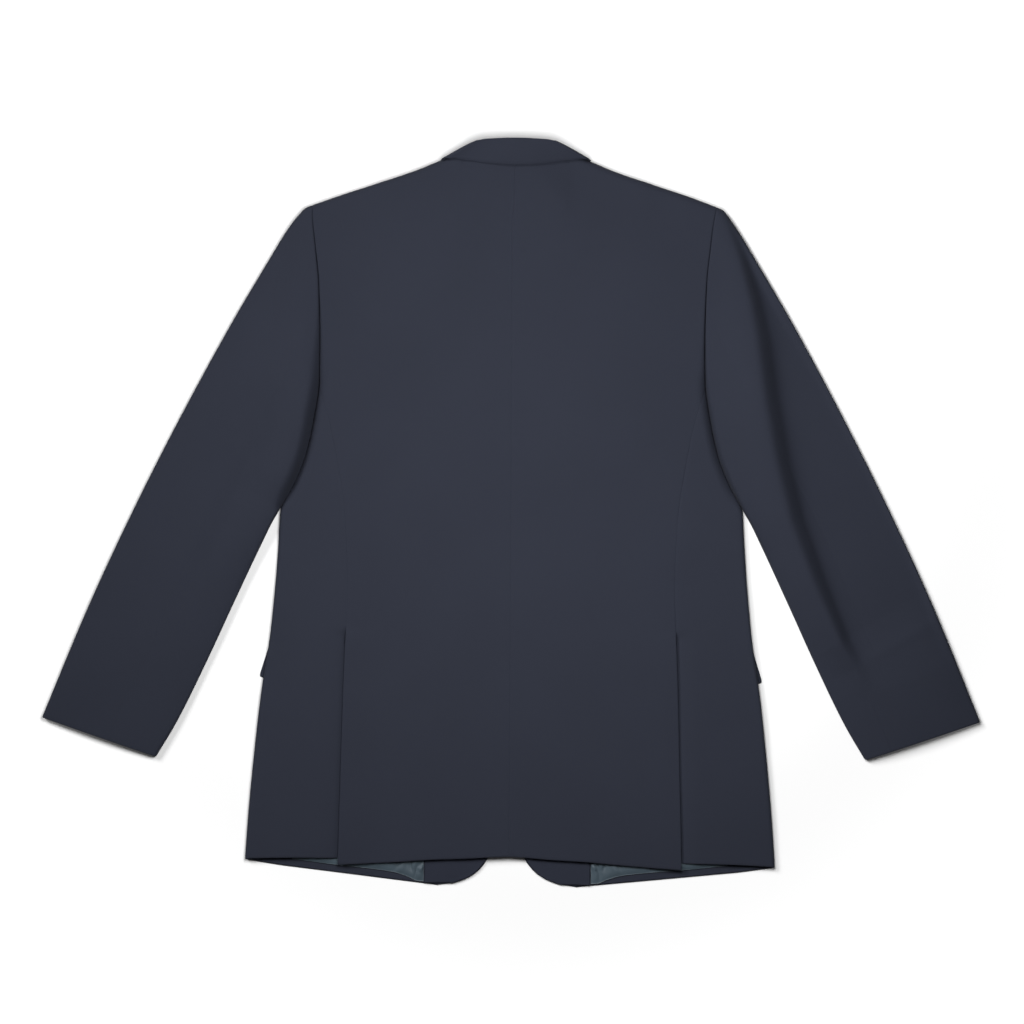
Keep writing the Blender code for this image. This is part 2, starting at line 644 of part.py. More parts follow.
def stand_net():
    """The collar stand, from under the leaf's fold to the neckline, round to the front."""
    net = []
    for x in (0, 14, 28):
        fold = x, mix(416.9, 414.8, x / 36), mix(32.7, 31.4, x / 36)
        neck_x = x * 1.35
        neck_y = read(BACK_NECK, "x", "y", neck_x)
        net.append((fold, (neck_x, neck_y + 0.5, back_height(neck_x, neck_y))))
    top, side = Vector(COLLAR_TOP), Vector(COLLAR_SIDE)
    outwards = Vector((top - side).orthogonal()).normalized() * -1
    corner = top - outwards * 3.4 - Vector((0.4, 0))
    for angle, neck in NECK_RIM:
        turn = math.radians(angle)
        place = corner + outwards * 2.0 * (math.cos(turn) - 1)
        net.append(((place.x, place.y, LAYER + 14.1 * (1 + math.sin(turn))), neck))
    net.append(((roll_x(366.0) - 0.4, 366.0, LAYER), (49.2, 366.6, LAYER)))
    net.append(((roll_x(340.0) - 0.4, 340.0, LAYER), (37.0, 340.0, LAYER)))
    return [[tuple(mix(fold[i], neck[i], q) for i in range(3)) for q in (0, 0.5, 1)] for fold, neck in net]


def lay(net, side, kind="body"):
    """Puts a half's net on its own side, as the garment was laid down."""
    placed = []
    for row in net:
        points = []
        for x, y, z in row:
            shift = 0.0
            if kind == "front":
                shift = FRONT_SHIFT * ease((-200 - y) / 150) * ease(1 - x / 250)
            slant = 0.0 if kind == "sleeve" else HEM_SLANT * ease(-y / 300)
            points.append((side * x + shift, y - slant * side * x, z))
        placed.append(points)
    return placed


def seam_in(net, edges, gap=GAP):
    """Draws sewn edges of a net back by half the gap, square to the seam."""
    grid = np.array(net, float)
    moved = grid.copy()
    rows, columns = grid.shape[:2]
    for edge in edges:
        for i in range(columns if edge in ("first_row", "last_row") else rows):
            if edge in ("first_row", "last_row"):
                at = (0 if edge == "first_row" else rows - 1, i)
                inner = (1 if edge == "first_row" else rows - 2, i)
                ends = (at[0], max(0, i - 1)), (at[0], min(columns - 1, i + 1))
            else:
                at = (i, 0 if edge == "first_column" else columns - 1)
                inner = (i, 1 if edge == "first_column" else columns - 2)
                ends = (max(0, i - 1), at[1]), (min(rows - 1, i + 1), at[1])
            along = grid[ends[1]] - grid[ends[0]]
            along /= np.linalg.norm(along)
            inwards = grid[inner] - grid[at]
            inwards -= along * inwards.dot(along)
            moved[at] += inwards / np.linalg.norm(inwards) * gap / 2
    moved[:, :, 2] = np.maximum(moved[:, :, 2], 0.0)
    return [[tuple(p) for p in row] for row in moved]


def material(name, colour, roughness):
    found = bpy.data.materials.get(name)
    if found:
        return found
    made = bpy.data.materials.new(name)
    made.use_nodes = True
    shader = made.node_tree.nodes["Principled BSDF"]
    shader.inputs["Base Color"].default_value = colour
    shader.inputs["Roughness"].default_value = roughness
    shader.inputs["Metallic"].default_value = 0.0
    return made


def clear_scene():
    for obj in list(bpy.data.objects):
        bpy.data.objects.remove(obj, do_unlink=True)


def collection():
    found = bpy.data.collections.get("suit_jacket")
    if not found:
        found = bpy.data.collections.new("suit_jacket")
        bpy.context.scene.collection.children.link(found)
    return found


def placed(point):
    """A point in metres, counted from the middle of the whole."""
    return (Vector(point) - Vector((0, CENTRE_Y, 0))) * MM


def cloth(name, net, wall, turned, colour=NAVY, roughness=0.85, flank=None):
    """An open net of points becomes a wall of cloth. turned is 1 or -1, so that faces look out."""
    bm = bmesh.new()
    verts = [[bm.verts.new(placed(p)) for p in row] for row in net]

    def face(*corners):
        bm.faces.new(corners if turned > 0 else corners[::-1])

    for low, high in zip(verts, verts[1:]):
        for j in range(len(low) - 1):
            face(low[j], low[j + 1], high[j + 1], high[j])
    if flank:
        strips = [[bm.verts.new(placed(p)) for p in row] for row in flank]
        grid = [strip + [verts[i][0]] for i, strip in enumerate(strips)]
        for low, high in zip(grid, grid[1:]):
            for j in range(2):
                face(low[j], low[j + 1], high[j + 1], high[j])
        last, tip = grid[-1], verts[len(strips)][0]
        for j in range(2):
            face(last[j], last[j + 1], tip)
    mesh = bpy.data.meshes.new(name)
    bm.to_mesh(mesh)
    bm.free()
    mesh.shade_smooth()
    obj = bpy.data.objects.new(name, mesh)
    collection().objects.link(obj)
    mesh.materials.append(material(name + "_cloth", colour, roughness))
    shell = obj.modifiers.new("wall", "SOLIDIFY")
    shell.thickness = wall * MM
    shell.offset = -1.0
    shell.use_even_offset = True
    shell.use_quality_normals = True
    return obj


def button(name, y):
    """A front button, face down under the left front, with a rolled rim."""
    bm = bmesh.new()
    bmesh.ops.create_cone(
        bm, cap_ends=True, segments=20, radius1=BUTTON_RADIUS * MM, radius2=BUTTON_RADIUS * MM,
        depth=BUTTON_THICK * MM,
    )
    bmesh.ops.translate(bm, verts=bm.verts, vec=placed((0, y, BUTTON_THICK / 2)))
    mesh = bpy.data.meshes.new(name)
    bm.to_mesh(mesh)
    bm.free()
    obj = bpy.data.objects.new(name, mesh)
    collection().objects.link(obj)
    mesh.materials.append(material(name + "_horn", BUTTON_HORN, 0.35))
    rim = obj.modifiers.new("rim", "BEVEL")
    rim.width = 0.6 * MM
    rim.segments = 2
    rim.limit_method = "ANGLE"


def mirrored(rows):
    """The whole of a piece that crosses the middle, from a half that starts there."""
    left = [[(-x, y, z) for x, y, z in row] for row in reversed(rows[1:])]
    return left + rows


def build():
    clear_scene()
    for side, word in ((LEFT, "left"), (RIGHT, "right")):
        net = seam_in(back_net(), ["first_column", "last_column", "last_row"])
        cloth(f"back_{word}", lay(net, side), WALL, side)
        net = side_net()
        flank = lay(underlap_net(net), side)
        net = lay(seam_in(net, ["first_column", "last_column", "last_row"]), side)
        cloth(f"side_{word}", net, WALL, side, flank=flank)
        net = seam_in(front_net(side), ["last_column", "last_row"])
        cloth(f"front_{word}", lay(net, side, "front"), WALL, -side)
        cloth(f"lapel_{word}", lay(lapel_net(side), side), WALL, -side)
        cloth(f"facing_{word}", lay(facing_net(side), side, "front"), FACING_WALL, -side)
        cloth(
            f"lining_{word}", lay(lining_net(side), side, "front"), LINING_WALL, -side,
            LINING_BLUE, 0.45,
        )
        cloth(f"flap_{word}", lay(flap_net(), side), FLAP_WALL, -side)
        edges = ["first_column", "last_column", "first_row"]
        tops, unders = sleeve_nets(side)
        cloth(f"sleeve_top_{word}", lay(seam_in(tops, edges), side, "sleeve"), SLEEVE_WALL, -side)
        cloth(f"sleeve_under_{word}", lay(seam_in(unders, edges), side, "sleeve"), SLEEVE_WALL, side)
    cloth("collar", mirrored(collar_net()), WALL, 1)
    cloth("collar_stand", mirrored(stand_net()), WALL, 1)
    for name, y in BUTTONS.items():
        button(name, y)


build()
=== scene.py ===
# %% [markdown]
# A dark navy suit jacket lies flat on its front, its back upwards and its sleeves spread a little.
# Every part of it is a cut panel of cloth, so every part here is a sheet: a grid of points for
# the face that shows, and then a wall of cloth behind that face. The grids come from the same
# lines and heights as the solids of the frame, only with many more points, so that the cloth
# can bend softly and take its folds.

# %% load the frame
import math

import bmesh
import bpy
import numpy as np
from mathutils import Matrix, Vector, noise


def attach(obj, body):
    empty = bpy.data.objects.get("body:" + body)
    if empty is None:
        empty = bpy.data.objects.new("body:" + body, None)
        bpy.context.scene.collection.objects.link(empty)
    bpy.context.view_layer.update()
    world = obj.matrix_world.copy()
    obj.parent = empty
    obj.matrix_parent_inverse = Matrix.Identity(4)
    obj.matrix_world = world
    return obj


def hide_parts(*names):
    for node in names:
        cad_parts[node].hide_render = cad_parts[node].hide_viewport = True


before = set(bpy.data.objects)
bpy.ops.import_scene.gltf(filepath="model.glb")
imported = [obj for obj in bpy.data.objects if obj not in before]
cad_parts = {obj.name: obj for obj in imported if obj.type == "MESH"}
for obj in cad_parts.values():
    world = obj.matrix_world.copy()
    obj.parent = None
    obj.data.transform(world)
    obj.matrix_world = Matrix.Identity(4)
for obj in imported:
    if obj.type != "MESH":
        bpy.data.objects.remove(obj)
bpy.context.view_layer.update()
bpy.ops.object.select_all(action="DESELECT")
MM = 0.001
LEFT, RIGHT = -1, 1
SIDES = ((LEFT, "left"), (RIGHT, "right"))

# %% [markdown]
# A tailor works from a sheet of measurements. These tables are that sheet, in millimetres. x is
# counted outwards from the middle of the back and y upwards to the collar. One side is written
# down, and the other is laid as its mirror image, a little shifted, as hands lay a jacket down.

# %% measurements


def table(columns, *rows):
    """A short table whose columns have names."""
    names = enumerate(columns.split())
    return {name: np.array([row[i] for row in rows], float) for i, name in names}


WALL, SLEEVE_WALL, FLAP_WALL, FACING_WALL, LINING_WALL = 2.0, 1.8, 1.8, 1.5, 1.0
GAP = 0.3
LAYER = WALL + GAP
SEAM_GAP, SEAM_LAP = 0.02, 0.35
CENTRE_Y = 0.245
BREAK_Y, OVERLAP, ROLL_SLOPE = -40.0, 20.0, 0.1434
BUTTON_RADIUS, BUTTON_THICK, HOLE_PLACE, HOLE_RADIUS, THREAD_RADIUS = 10.0, 2.2, 1.5, 0.75, 0.38
BUTTONS = {"button_upper": -54.0, "button_lower": -156.0}
NEAR, FAR = 36.0, 76.0
VENT_TOP, VENT_CLOSED, VENT_LIFT_REACH = -141.0, -131.0, 40.0
UNDERLAP, UNDERLAP_TOP, UNDERLAP_SINK, UNDERLAP_REACH = 38.0, -150.0, 1.4, 22.0
VENT_STEP, VENT_STEP_REACH = 3.0, 2.8
SHOULDER_TIP_X, SHOULDER_TIP_Y, SHOULDER_RIDGE, SHOULDER_FADE = 226.0, 343.0, 16.0, 75.0
SHOULDER_ROLL = SHOULDER_RIDGE / 2
CROTCH_Y, BACK_SEAM_TOP, FRONT_SEAM_TOP = 3.4, 140.0, 96.0
NECK_POINT_X, NECK_SIDE_X, NECK_DROP, HEM_BAND_TOP = 68.0, 54.0, 10.0, -330.0
LAP_REACH, LAP_FADE = 118.0, 110.0
HEM_SLANT, SLANT_REACH, RIGHT_STRETCH = 0.011, 300.0, 1.005
SHOULDER_SHIFT, SHIFT_FROM, SHIFT_REACH = 2.4, 318.0, 40.0
COLLAR_SHIFT, COLLAR_FROM, COLLAR_REACH = 3.5, 365.0, 25.0
FRONT_SHIFT, FRONT_FROM, FRONT_REACH, FRONT_FADE = -3.5, -200.0, 150.0, 250.0
BACK_WIDE, HEM_BAND, SIDE_LONG, FRONT_WIDE, FRONT_LONG, SLEEVE_LONG = 225, 60, 530, 240, 495, 650

SIDE_FOLD = table(
    "y x",
    (-400, 297.2), (-340, 293.0), (-270, 286.5), (-205, 279.2), (-138, 269.4), (-71, 263.2),
    (3.4, 258.7),
)
BACK_SEAM = table(
    "y x",
    (-400, 192.3), (-200, 187.0), (-82, 183.3), (0, 187.0), (60, 196.0), (100, 204.2), (140, 216.6),
)
FRONT_SEAM = table("y x", (-400, 252.0), (-200, 234.0), (-37, 217.0), (20, 216.5), (96, 223.2))
ARMHOLE = table(
    "y x",
    (3.4, 258.7), (31, 243.6), (64, 230.7), (104, 221.8),
    (148, 215.8), (200, 215.0), (256, 216.6), (300, 221.0), (343, 226.0),
)
SHOULDER = table(
    "x y", (68, 400.4), (90, 390.8), (115, 380.6), (155, 367.4), (196, 353.9), (226, 343)
)
BACK_NECK = table("x y", (0, 393), (40, 394.6), (68, 398.4))
BACK_HEM = table(
    "x y", (0, -386.6), (20, -387.6), (47, -389.5), (84, -391.2), (130, -394.8), (192, -398.7)
)
SIDE_HEM = table("part y", (0, -391.5), (0.18, -391.5), (0.55, -394.0), (1, -401.5))
FRONT_EDGE = table(
    "y x",
    (-420.3, 78), (-417, 57), (-409, 38), (-398.5, 26.5), (-389, 20.4), (-340, 5),
    (-317, -0.5), (-290, -6.5), (-230, -16.5), (-180, -20), (-40, -20),
    (322, 31.9), (365, 50), (390, 66), (398.4, 68),
)
CROSSING = table(
    "y lift",
    (-375, 0), (-347, 0), (-317, 2.8), (-262, 2.9), (-205, 5.6), (142, 5.6), (250, 0), (400, 0),
)
HEIGHT = table(
    "y crown edge",
    (-400, 10.2, 8.8), (-300, 11.0, 9.0), (-156, 13.4, 9.4), (0, 16.0, 10.0),
    (100, 19.6, 13.5), (220, 23.4, 16.5), (343, 24.6, 16.0), (400, 23.0, 16.0),
)
SLEEVE_OUTER = table(
    "y x",
    (-233, 525.3), (-104, 472), (13, 417.8), (114, 366.8), (215, 312), (282, 272.7),
    (316, 252), (333, 239.5), (340, 233), (343, 226),
)
SLEEVE_INNER = table(
    "y x",
    (-276.6, 397), (-238.6, 374.6), (-171, 341.4), (-104, 310.8), (-37, 279.8), (-15, 269.3),
    (3.4, 258.7),
)
SLEEVE = table(
    "along outer_edge inner_edge crown hindarm",
    (0.00, 16.0, 10.0, 2.6, 0.356), (0.06, 13.0, 9.8, 7.0, 0.38), (0.20, 11.0, 9.5, 9.5, 0.44),
    (0.45, 9.6, 9.2, 8.0, 0.52), (0.70, 9.2, 9.0, 6.0, 0.56), (1.00, 9.0, 9.0, 3.4, 0.58),
)
GORGE_ROLL, GORGE_NOTCH = (31.9, 322.0), (80.0, 304.0)
COLLAR_CORNER, LAPEL_TIP = (103.0, 331.0), (132.0, 288.0)
LAPEL_EDGE = table("y x", (-40, -20), (20, 6), (100, 54), (190, 100), (288, 132))
COLLAR_TOP, COLLAR_SIDE = (45.0, 416.0), (90.6, 391.4)
FLAP = [(282.5, -189.5), (128.0, -198.0), (122.0, -143.0), (266.5, -137.0)]

# %% [markdown]
# Between the rows of a table a smooth curve is drawn that never swings past them, as a tailor
# draws round a curved rule. All helpers take whole arrays of points at once, because numpy then
# works out a grid of twenty thousand points in a blink.

# %% reading the measurements


def ease(t):
    """From 0 to 1, leaving and arriving level."""
    t = np.clip(t, 0.0, 1.0)
    return t * t * (3 - 2 * t)


def mix(a, b, t):
    return a + (b - a) * t


def read(rows, key, value, at):
    """Reads a table between its rows on a smooth curve that never overshoots them."""
    xs, ys = rows[key], rows[value]
    step = np.diff(xs)
    rise = np.diff(ys) / step
    slope = np.concatenate([rise[:1], np.zeros(len(xs) - 2), rise[-1:]])
    for i in range(1, len(xs) - 1):
        before, after = rise[i - 1], rise[i]
        if before * after > 0:
            near_part, far_part = 2 * step[i] + step[i - 1], step[i] + 2 * step[i - 1]
            slope[i] = (near_part + far_part) / (near_part / before + far_part / after)
    at = np.asarray(at, float)
    i = np.clip(np.searchsorted(xs, at) - 1, 0, len(step) - 1)
    t = (at - xs[i]) / step[i]
    curve = (
        ys[i] * (1 + 2 * t) * (1 - t) ** 2 + step[i] * slope[i] * t * (1 - t) ** 2
        + ys[i + 1] * t * t * (3 - 2 * t) + step[i] * slope[i + 1] * t * t * (t - 1)
    )
    curve = np.where(at <= xs[0], ys[0] + slope[0] * (at - xs[0]), curve)
    return np.where(at >= xs[-1], ys[-1] + slope[-1] * (at - xs[-1]), curve)


def points_at(x, y, z):
    """Puts x, y and z together into one grid of points."""
    return np.stack(np.broadcast_arrays(x, y, z), -1)


def axes(grid):
    """The x, y and z of a grid of points, each of which can be changed in place."""
    return np.moveaxis(grid, 2, 0)


def x_at(rows, y):
    return read(rows, "y", "x", y)


def y_at(rows, x):
    return read(rows, "x", "y", x)


def nearest(x, y, line):
    """Gap to a line of points, the side it is on, and what the points carry, blended there."""
    x, y = np.broadcast_arrays(x, y)
    gap, side = np.full(x.shape, 1e9), np.zeros(x.shape)
    carried = [np.zeros(x.shape) for _ in line[0][2:]]
    for a, b in zip(line, line[1:]):
        dx, dy = b[0] - a[0], b[1] - a[1]
        t = np.clip(((x - a[0]) * dx + (y - a[1]) * dy) / (dx**2 + dy**2), 0, 1)
        here = np.hypot(x - a[0] - t * dx, y - a[1] - t * dy)
        closer = here < gap
        gap = np.where(closer, here, gap)
        side = np.where(closer, np.sign(dx * (y - a[1]) - dy * (x - a[0])), side)
        blended = [mix(low, high, t) for low, high in zip(a[2:], b[2:])]
        carried = [np.where(closer, new, old) for new, old in zip(blended, carried)]
    return gap, side, *carried


def distance_to(outline, x, y):
    """How far each point lies outside a closed outline, 0 inside it."""
    closed = outline + outline[:1]
    inside = np.zeros(np.broadcast(x, y).shape, bool)
    for (x1, y1), (x2, y2) in zip(closed, closed[1:]):
        if y1 != y2:
            inside ^= ((y1 > y) != (y2 > y)) & (x < x1 + (y - y1) * (x2 - x1) / (y2 - y1))
    return np.where(inside, 0.0, nearest(x, y, closed)[0])


def near(distance):
    """1 over and close around something, 0 far from it."""
    return 1 - ease((distance - NEAR) / (FAR - NEAR))


def fold_x(y):
    return x_at(SIDE_FOLD, np.minimum(y, CROTCH_Y))


def armhole_x(y):
    return x_at(ARMHOLE, np.minimum(y, SHOULDER_TIP_Y))


def roll_x(y):
    """The lapel's roll line."""
    return -OVERLAP + ROLL_SLOPE * (y - BREAK_Y)


LAPEL_OUTLINE = [(-OVERLAP, BREAK_Y)]
LAPEL_OUTLINE += [(float(x_at(LAPEL_EDGE, y)), y) for y in (20, 100, 190)]
LAPEL_OUTLINE += [LAPEL_TIP, GORGE_NOTCH, GORGE_ROLL]
COLLAR_OUTLINE = [GORGE_ROLL, GORGE_NOTCH, COLLAR_CORNER, COLLAR_SIDE, COLLAR_TOP]


def over_left_front(x, y):
    """How far the right side is lifted where it passes over the left front's edge."""
    return np.interp(y, CROSSING["y"], CROSSING["lift"]) * np.clip((LAP_REACH - x) / LAP_FADE, 0, 1)


def front_lift(x, y, side):
    """Height of a front's outer face above the surface, over what is turned out beneath it."""
    to_lapel, to_collar = distance_to(LAPEL_OUTLINE, x, y), distance_to(COLLAR_OUTLINE, x, y)
    turned = near(np.minimum(to_lapel, to_collar))
    under = np.maximum(turned, near(distance_to(FLAP, x, y)))
    if side == RIGHT:
        return over_left_front(x, y) + LAYER * under
    gaps = [np.maximum(0, np.hypot(x, y - at) - BUTTON_RADIUS) for at in BUTTONS.values()]
    return np.maximum(LAYER * under, (BUTTON_THICK + GAP) * near(np.minimum(*gaps)))


def shoulder_y(x):
    """The shoulder line, and above the neck a line that only steadies the back's height."""
    end = y_at(SHOULDER, NECK_POINT_X)
    return np.where(x < NECK_POINT_X, end + 1.2 * (NECK_POINT_X - x), y_at(SHOULDER, x))


def ridge(x):
    """Bottom and top of the rolled shoulder."""
    low = LAYER * near(distance_to(COLLAR_OUTLINE, x, shoulder_y(x)))
    return low, SHOULDER_RIDGE + low


def fold_radius(y):
    low = LAYER * near(distance_to(FLAP, fold_x(y), y))
    return (read(HEIGHT, "y", "edge", y) - low) / 2


def back_height(x, y):
    """Height of the upper outer face, away from the rolled edges."""
    reach = fold_x(y) - fold_radius(np.minimum(y, CROTCH_Y))
    reach = np.where(y > CROTCH_Y, np.minimum(reach, armhole_x(y)), reach)
    edge, crown = read(HEIGHT, "y", "edge", y), read(HEIGHT, "y", "crown", y)
    level = edge + (crown - edge) * (1 - np.minimum(1.0, np.abs(x) / reach) ** 3) ** 2
    below = shoulder_y(np.abs(x)) - y - SHOULDER_ROLL
    return mix(ridge(np.abs(x))[1], level, ease(below / SHOULDER_FADE))


def vent(y):
    """1 where the side vent is open."""
    return ease((VENT_CLOSED - y) / (VENT_CLOSED - VENT_TOP))


print("back stands", float(back_height(0.0, 220.0)), "mm above the table between the shoulders")

# %% [markdown]
# Around the armhole the body and the sleeve share one line, so it is worked out once: round the
# rolled tip of the shoulder, down the side, and round the fold under the arm. Each point also
# keeps its mark, a number that says how far along the line it lies, so that the front can find
# its own place opposite each point.

# %% the armhole
TIP_ANGLES = np.linspace(0, 90, 8)
TIP_LAST = len(TIP_ANGLES) - 1
HOLE_TOP, HINDARM_TOP, HOLE_TURN, HOLE_LOW = 335.0, 222.0, 50.0, 15.5
HOLE_ROWS = (HOLE_TOP, 302.0, 262.0, HINDARM_TOP, 181.0, 140.0, 96.0, HOLE_TURN, HOLE_LOW)
ROW_STOPS = (HOLE_TOP, HINDARM_TOP, BACK_SEAM_TOP, FRONT_SEAM_TOP, HOLE_TURN, HOLE_LOW)
FINE_ROWS = np.array([HOLE_TOP])
for high, low, count in zip(ROW_STOPS, ROW_STOPS[1:], (33, 25, 13, 13, 10)):
    FINE_ROWS = np.append(FINE_ROWS, np.linspace(high, low, count)[1:])


def mark_at(y):
    """Which point of the armhole ring stands at this height on its flat side."""
    return TIP_LAST + int(np.argmin(abs(FINE_ROWS - y)))


BACK_MARK, FRONT_MARK, HINDARM_MARK = map(mark_at, (BACK_SEAM_TOP, FRONT_SEAM_TOP, HINDARM_TOP))


def armhole_ring(upper):
    """The armhole from the shoulder tip to the crotch, over the upper or the under face."""
    turn = np.radians(TIP_ANGLES)
    y = SHOULDER_TIP_Y - (1 - np.cos(turn)) * SHOULDER_ROLL
    sign = 1 if upper else -1
    tip = points_at(armhole_x(y), y, SHOULDER_ROLL * (1 + sign * np.sin(turn)))
    y = FINE_ROWS[1:]
    x = armhole_x(y)
    side = points_at(x, y, back_height(x, y) if upper else 0)
    radius, fold = fold_radius(CROTCH_Y), fold_x(CROTCH_Y)
    turn = np.radians(TIP_ANGLES[-2::-1])
    x = fold - radius + radius * np.cos(turn)
    ys = np.linspace(HOLE_TURN, CROTCH_Y, 400)
    y = np.interp(x, armhole_x(ys), ys)
    y[-1] = CROTCH_Y
    roll = points_at(x, y, radius * (1 + sign * np.sin(turn)))
    return np.concatenate([tip, side, roll])


UPPER_RING, UNDER_RING = armhole_ring(True), armhole_ring(False)
FLAT_END = TIP_LAST + len(FINE_ROWS) - 1
TIP_MARK = 3
ring_marks = np.concatenate([
    np.interp(TIP_ANGLES, [0, 20, 50, 90], range(TIP_MARK + 1)),
    TIP_MARK + np.interp(-FINE_ROWS[1:], -np.array(HOLE_ROWS), range(len(HOLE_ROWS))),
])
print("armhole ring has", len(UPPER_RING), "points, seams at", BACK_MARK, FRONT_MARK)

# %% [markdown]
# Now the panels. The back is cut in two halves that meet in the centre-back seam. Its grid starts
# at the hem, where it is about a hand's width from the fold, and ends in the rolled shoulder.
# Points stand closer together along every edge, since that is where cloth turns under sharply.

# %% points across a panel


def spread(size, step):
    """Places from 0 to 1 across a panel, close together at both ends."""
    close = np.array([0, 0.5, 1.1, 1.9, 3.0, 4.6, 7.0]) / size
    middle = np.linspace(close[-1], 1 - close[-1], max(2, int(size / step)))
    return np.concatenate([close[:-1], middle, 1 - close[-2::-1]])


def back_grid():
    """Half of the back, from the middle seam outwards and from the hem up to the shoulder."""
    s = spread(BACK_WIDE, 3.4)
    hem = y_at(BACK_HEM, BACK_HEM["x"][-1] * s)
    rows = [mix(hem, HEM_BAND_TOP, part) for part in spread(HEM_BAND, 4)[:-7]]
    rows += [np.full(len(s), y) for y in np.arange(HEM_BAND_TOP, BACK_SEAM_TOP - 2, 4.0)]
    grid = []
    for y in rows:
        seam = x_at(BACK_SEAM, y)
        x = s * seam
        lift = ease(1 - (seam - x) / VENT_LIFT_REACH) * vent(y)
        grid.append(points_at(x, y, back_height(x, y) + lift))
    x_top = s * UPPER_RING[0][0]
    rolled = ease((x_top - NECK_SIDE_X) / (NECK_POINT_X - NECK_SIDE_X))
    top = np.where(rolled > 0.5, y_at(SHOULDER, x_top), y_at(BACK_NECK, x_top))
    for k in range(BACK_MARK, -1, -1):
        x = s * UPPER_RING[k][0]
        if k <= TIP_LAST:
            turn = math.radians(TIP_ANGLES[k])
            dropped = (1 - math.cos(turn)) * SHOULDER_ROLL
            y = top - mix(NECK_DROP * TIP_ANGLES[k] / 90, dropped, rolled)
            low, high = ridge(x)
            z = mix(back_height(x, y), mix(low, high, (1 + math.sin(turn)) / 2), rolled)
        else:
            part = (HOLE_TOP - UPPER_RING[k][1]) / (HOLE_TOP - BACK_SEAM_TOP)
            y = mix(top - mix(NECK_DROP, SHOULDER_ROLL, rolled), BACK_SEAM_TOP, part)
            z = back_height(x, y)
        row = points_at(x, y, z)
        row[-1] = UPPER_RING[k]
        grid.append(row)
    return np.array(grid)


JOIN_FROM = 0.86


def side_grid():
    """A side panel, from the side-back seam round the side fold to the front seam beneath."""
    upper = UPPER_RING[BACK_MARK : FLAT_END + 1]
    turn = np.radians(np.linspace(0, 180, 2 * TIP_LAST + 1))
    under = UNDER_RING[FRONT_MARK : FLAT_END + 1][::-1]
    around = [UPPER_RING[FLAT_END + 1 :], UNDER_RING[FLAT_END + 1 : -1][::-1]]
    top = np.concatenate([upper, *around, under])
    count = len(upper)
    order = np.arange(count) / (count - 1)
    top_x, top_y = top[:count, 0], top[:count, 1]
    inner_top = fold_x(CROTCH_Y) - fold_radius(CROTCH_Y)
    seam_top = x_at(BACK_SEAM, top_y)
    at_top = (top_x - seam_top) / (inner_top - seam_top)
    at_hem = np.interp(order, [0, 1 / 3, 2 / 3, 1], [0, 0.3, 0.66, 1])
    after = len(top) - count - (len(turn) - 1)
    hem = read(SIDE_HEM, "part", "y", np.arange(len(top)) / (len(top) - 1))
    grid, parts = [], spread(SIDE_LONG, 4.0)
    for part in parts:
        y = mix(hem, top[:, 1], part)
        fold, radius = fold_x(y), fold_radius(np.minimum(y, CROTCH_Y))
        inner = fold - radius
        row = np.zeros((len(top), 3))
        row[:, 1] = y
        seam = x_at(BACK_SEAM, y[:count])
        x = mix(seam, inner[:count], mix(at_hem, at_top, part**2))
        sink = UNDERLAP_SINK * ease(1 - (x - seam) / UNDERLAP_REACH)
        step = VENT_STEP * np.exp(-(x - seam) / VENT_STEP_REACH)
        row[:count, 0] = x
        row[:count, 2] = back_height(x, y[:count]) - (sink + step) * vent(y[:count])
        bend = slice(count - 1, count - 1 + len(turn))
        low = LAYER * near(distance_to(FLAP, fold[bend], y[bend]))
        row[bend, 0] = inner[bend] + radius[bend] * np.sin(turn)
        bent = mix(low, read(HEIGHT, "y", "edge", y[bend]), (1 + np.cos(turn)) / 2)
        row[bend, 2] = np.where(turn > 0, bent, row[count - 1, 2])
        flat = slice(count - 1 + len(turn), len(top))
        y_flat = y[flat]
        front_top = x_at(FRONT_SEAM, top[flat, 1])
        at_end = (inner_top - top[flat, 0]) / (inner_top - front_top)
        at_low = np.arange(1, after + 1) / after
        x = mix(inner[flat], x_at(FRONT_SEAM, y_flat), mix(at_low, at_end, part**2))
        row[flat, 0], row[flat, 2] = x, LAYER * near(distance_to(FLAP, x, y_flat))
        grid.append(row)
    grid = np.array(grid)
    fade = ease((parts - JOIN_FROM) / (1 - JOIN_FROM))[:, None, None]
    return grid + (top - grid[-1]) * fade


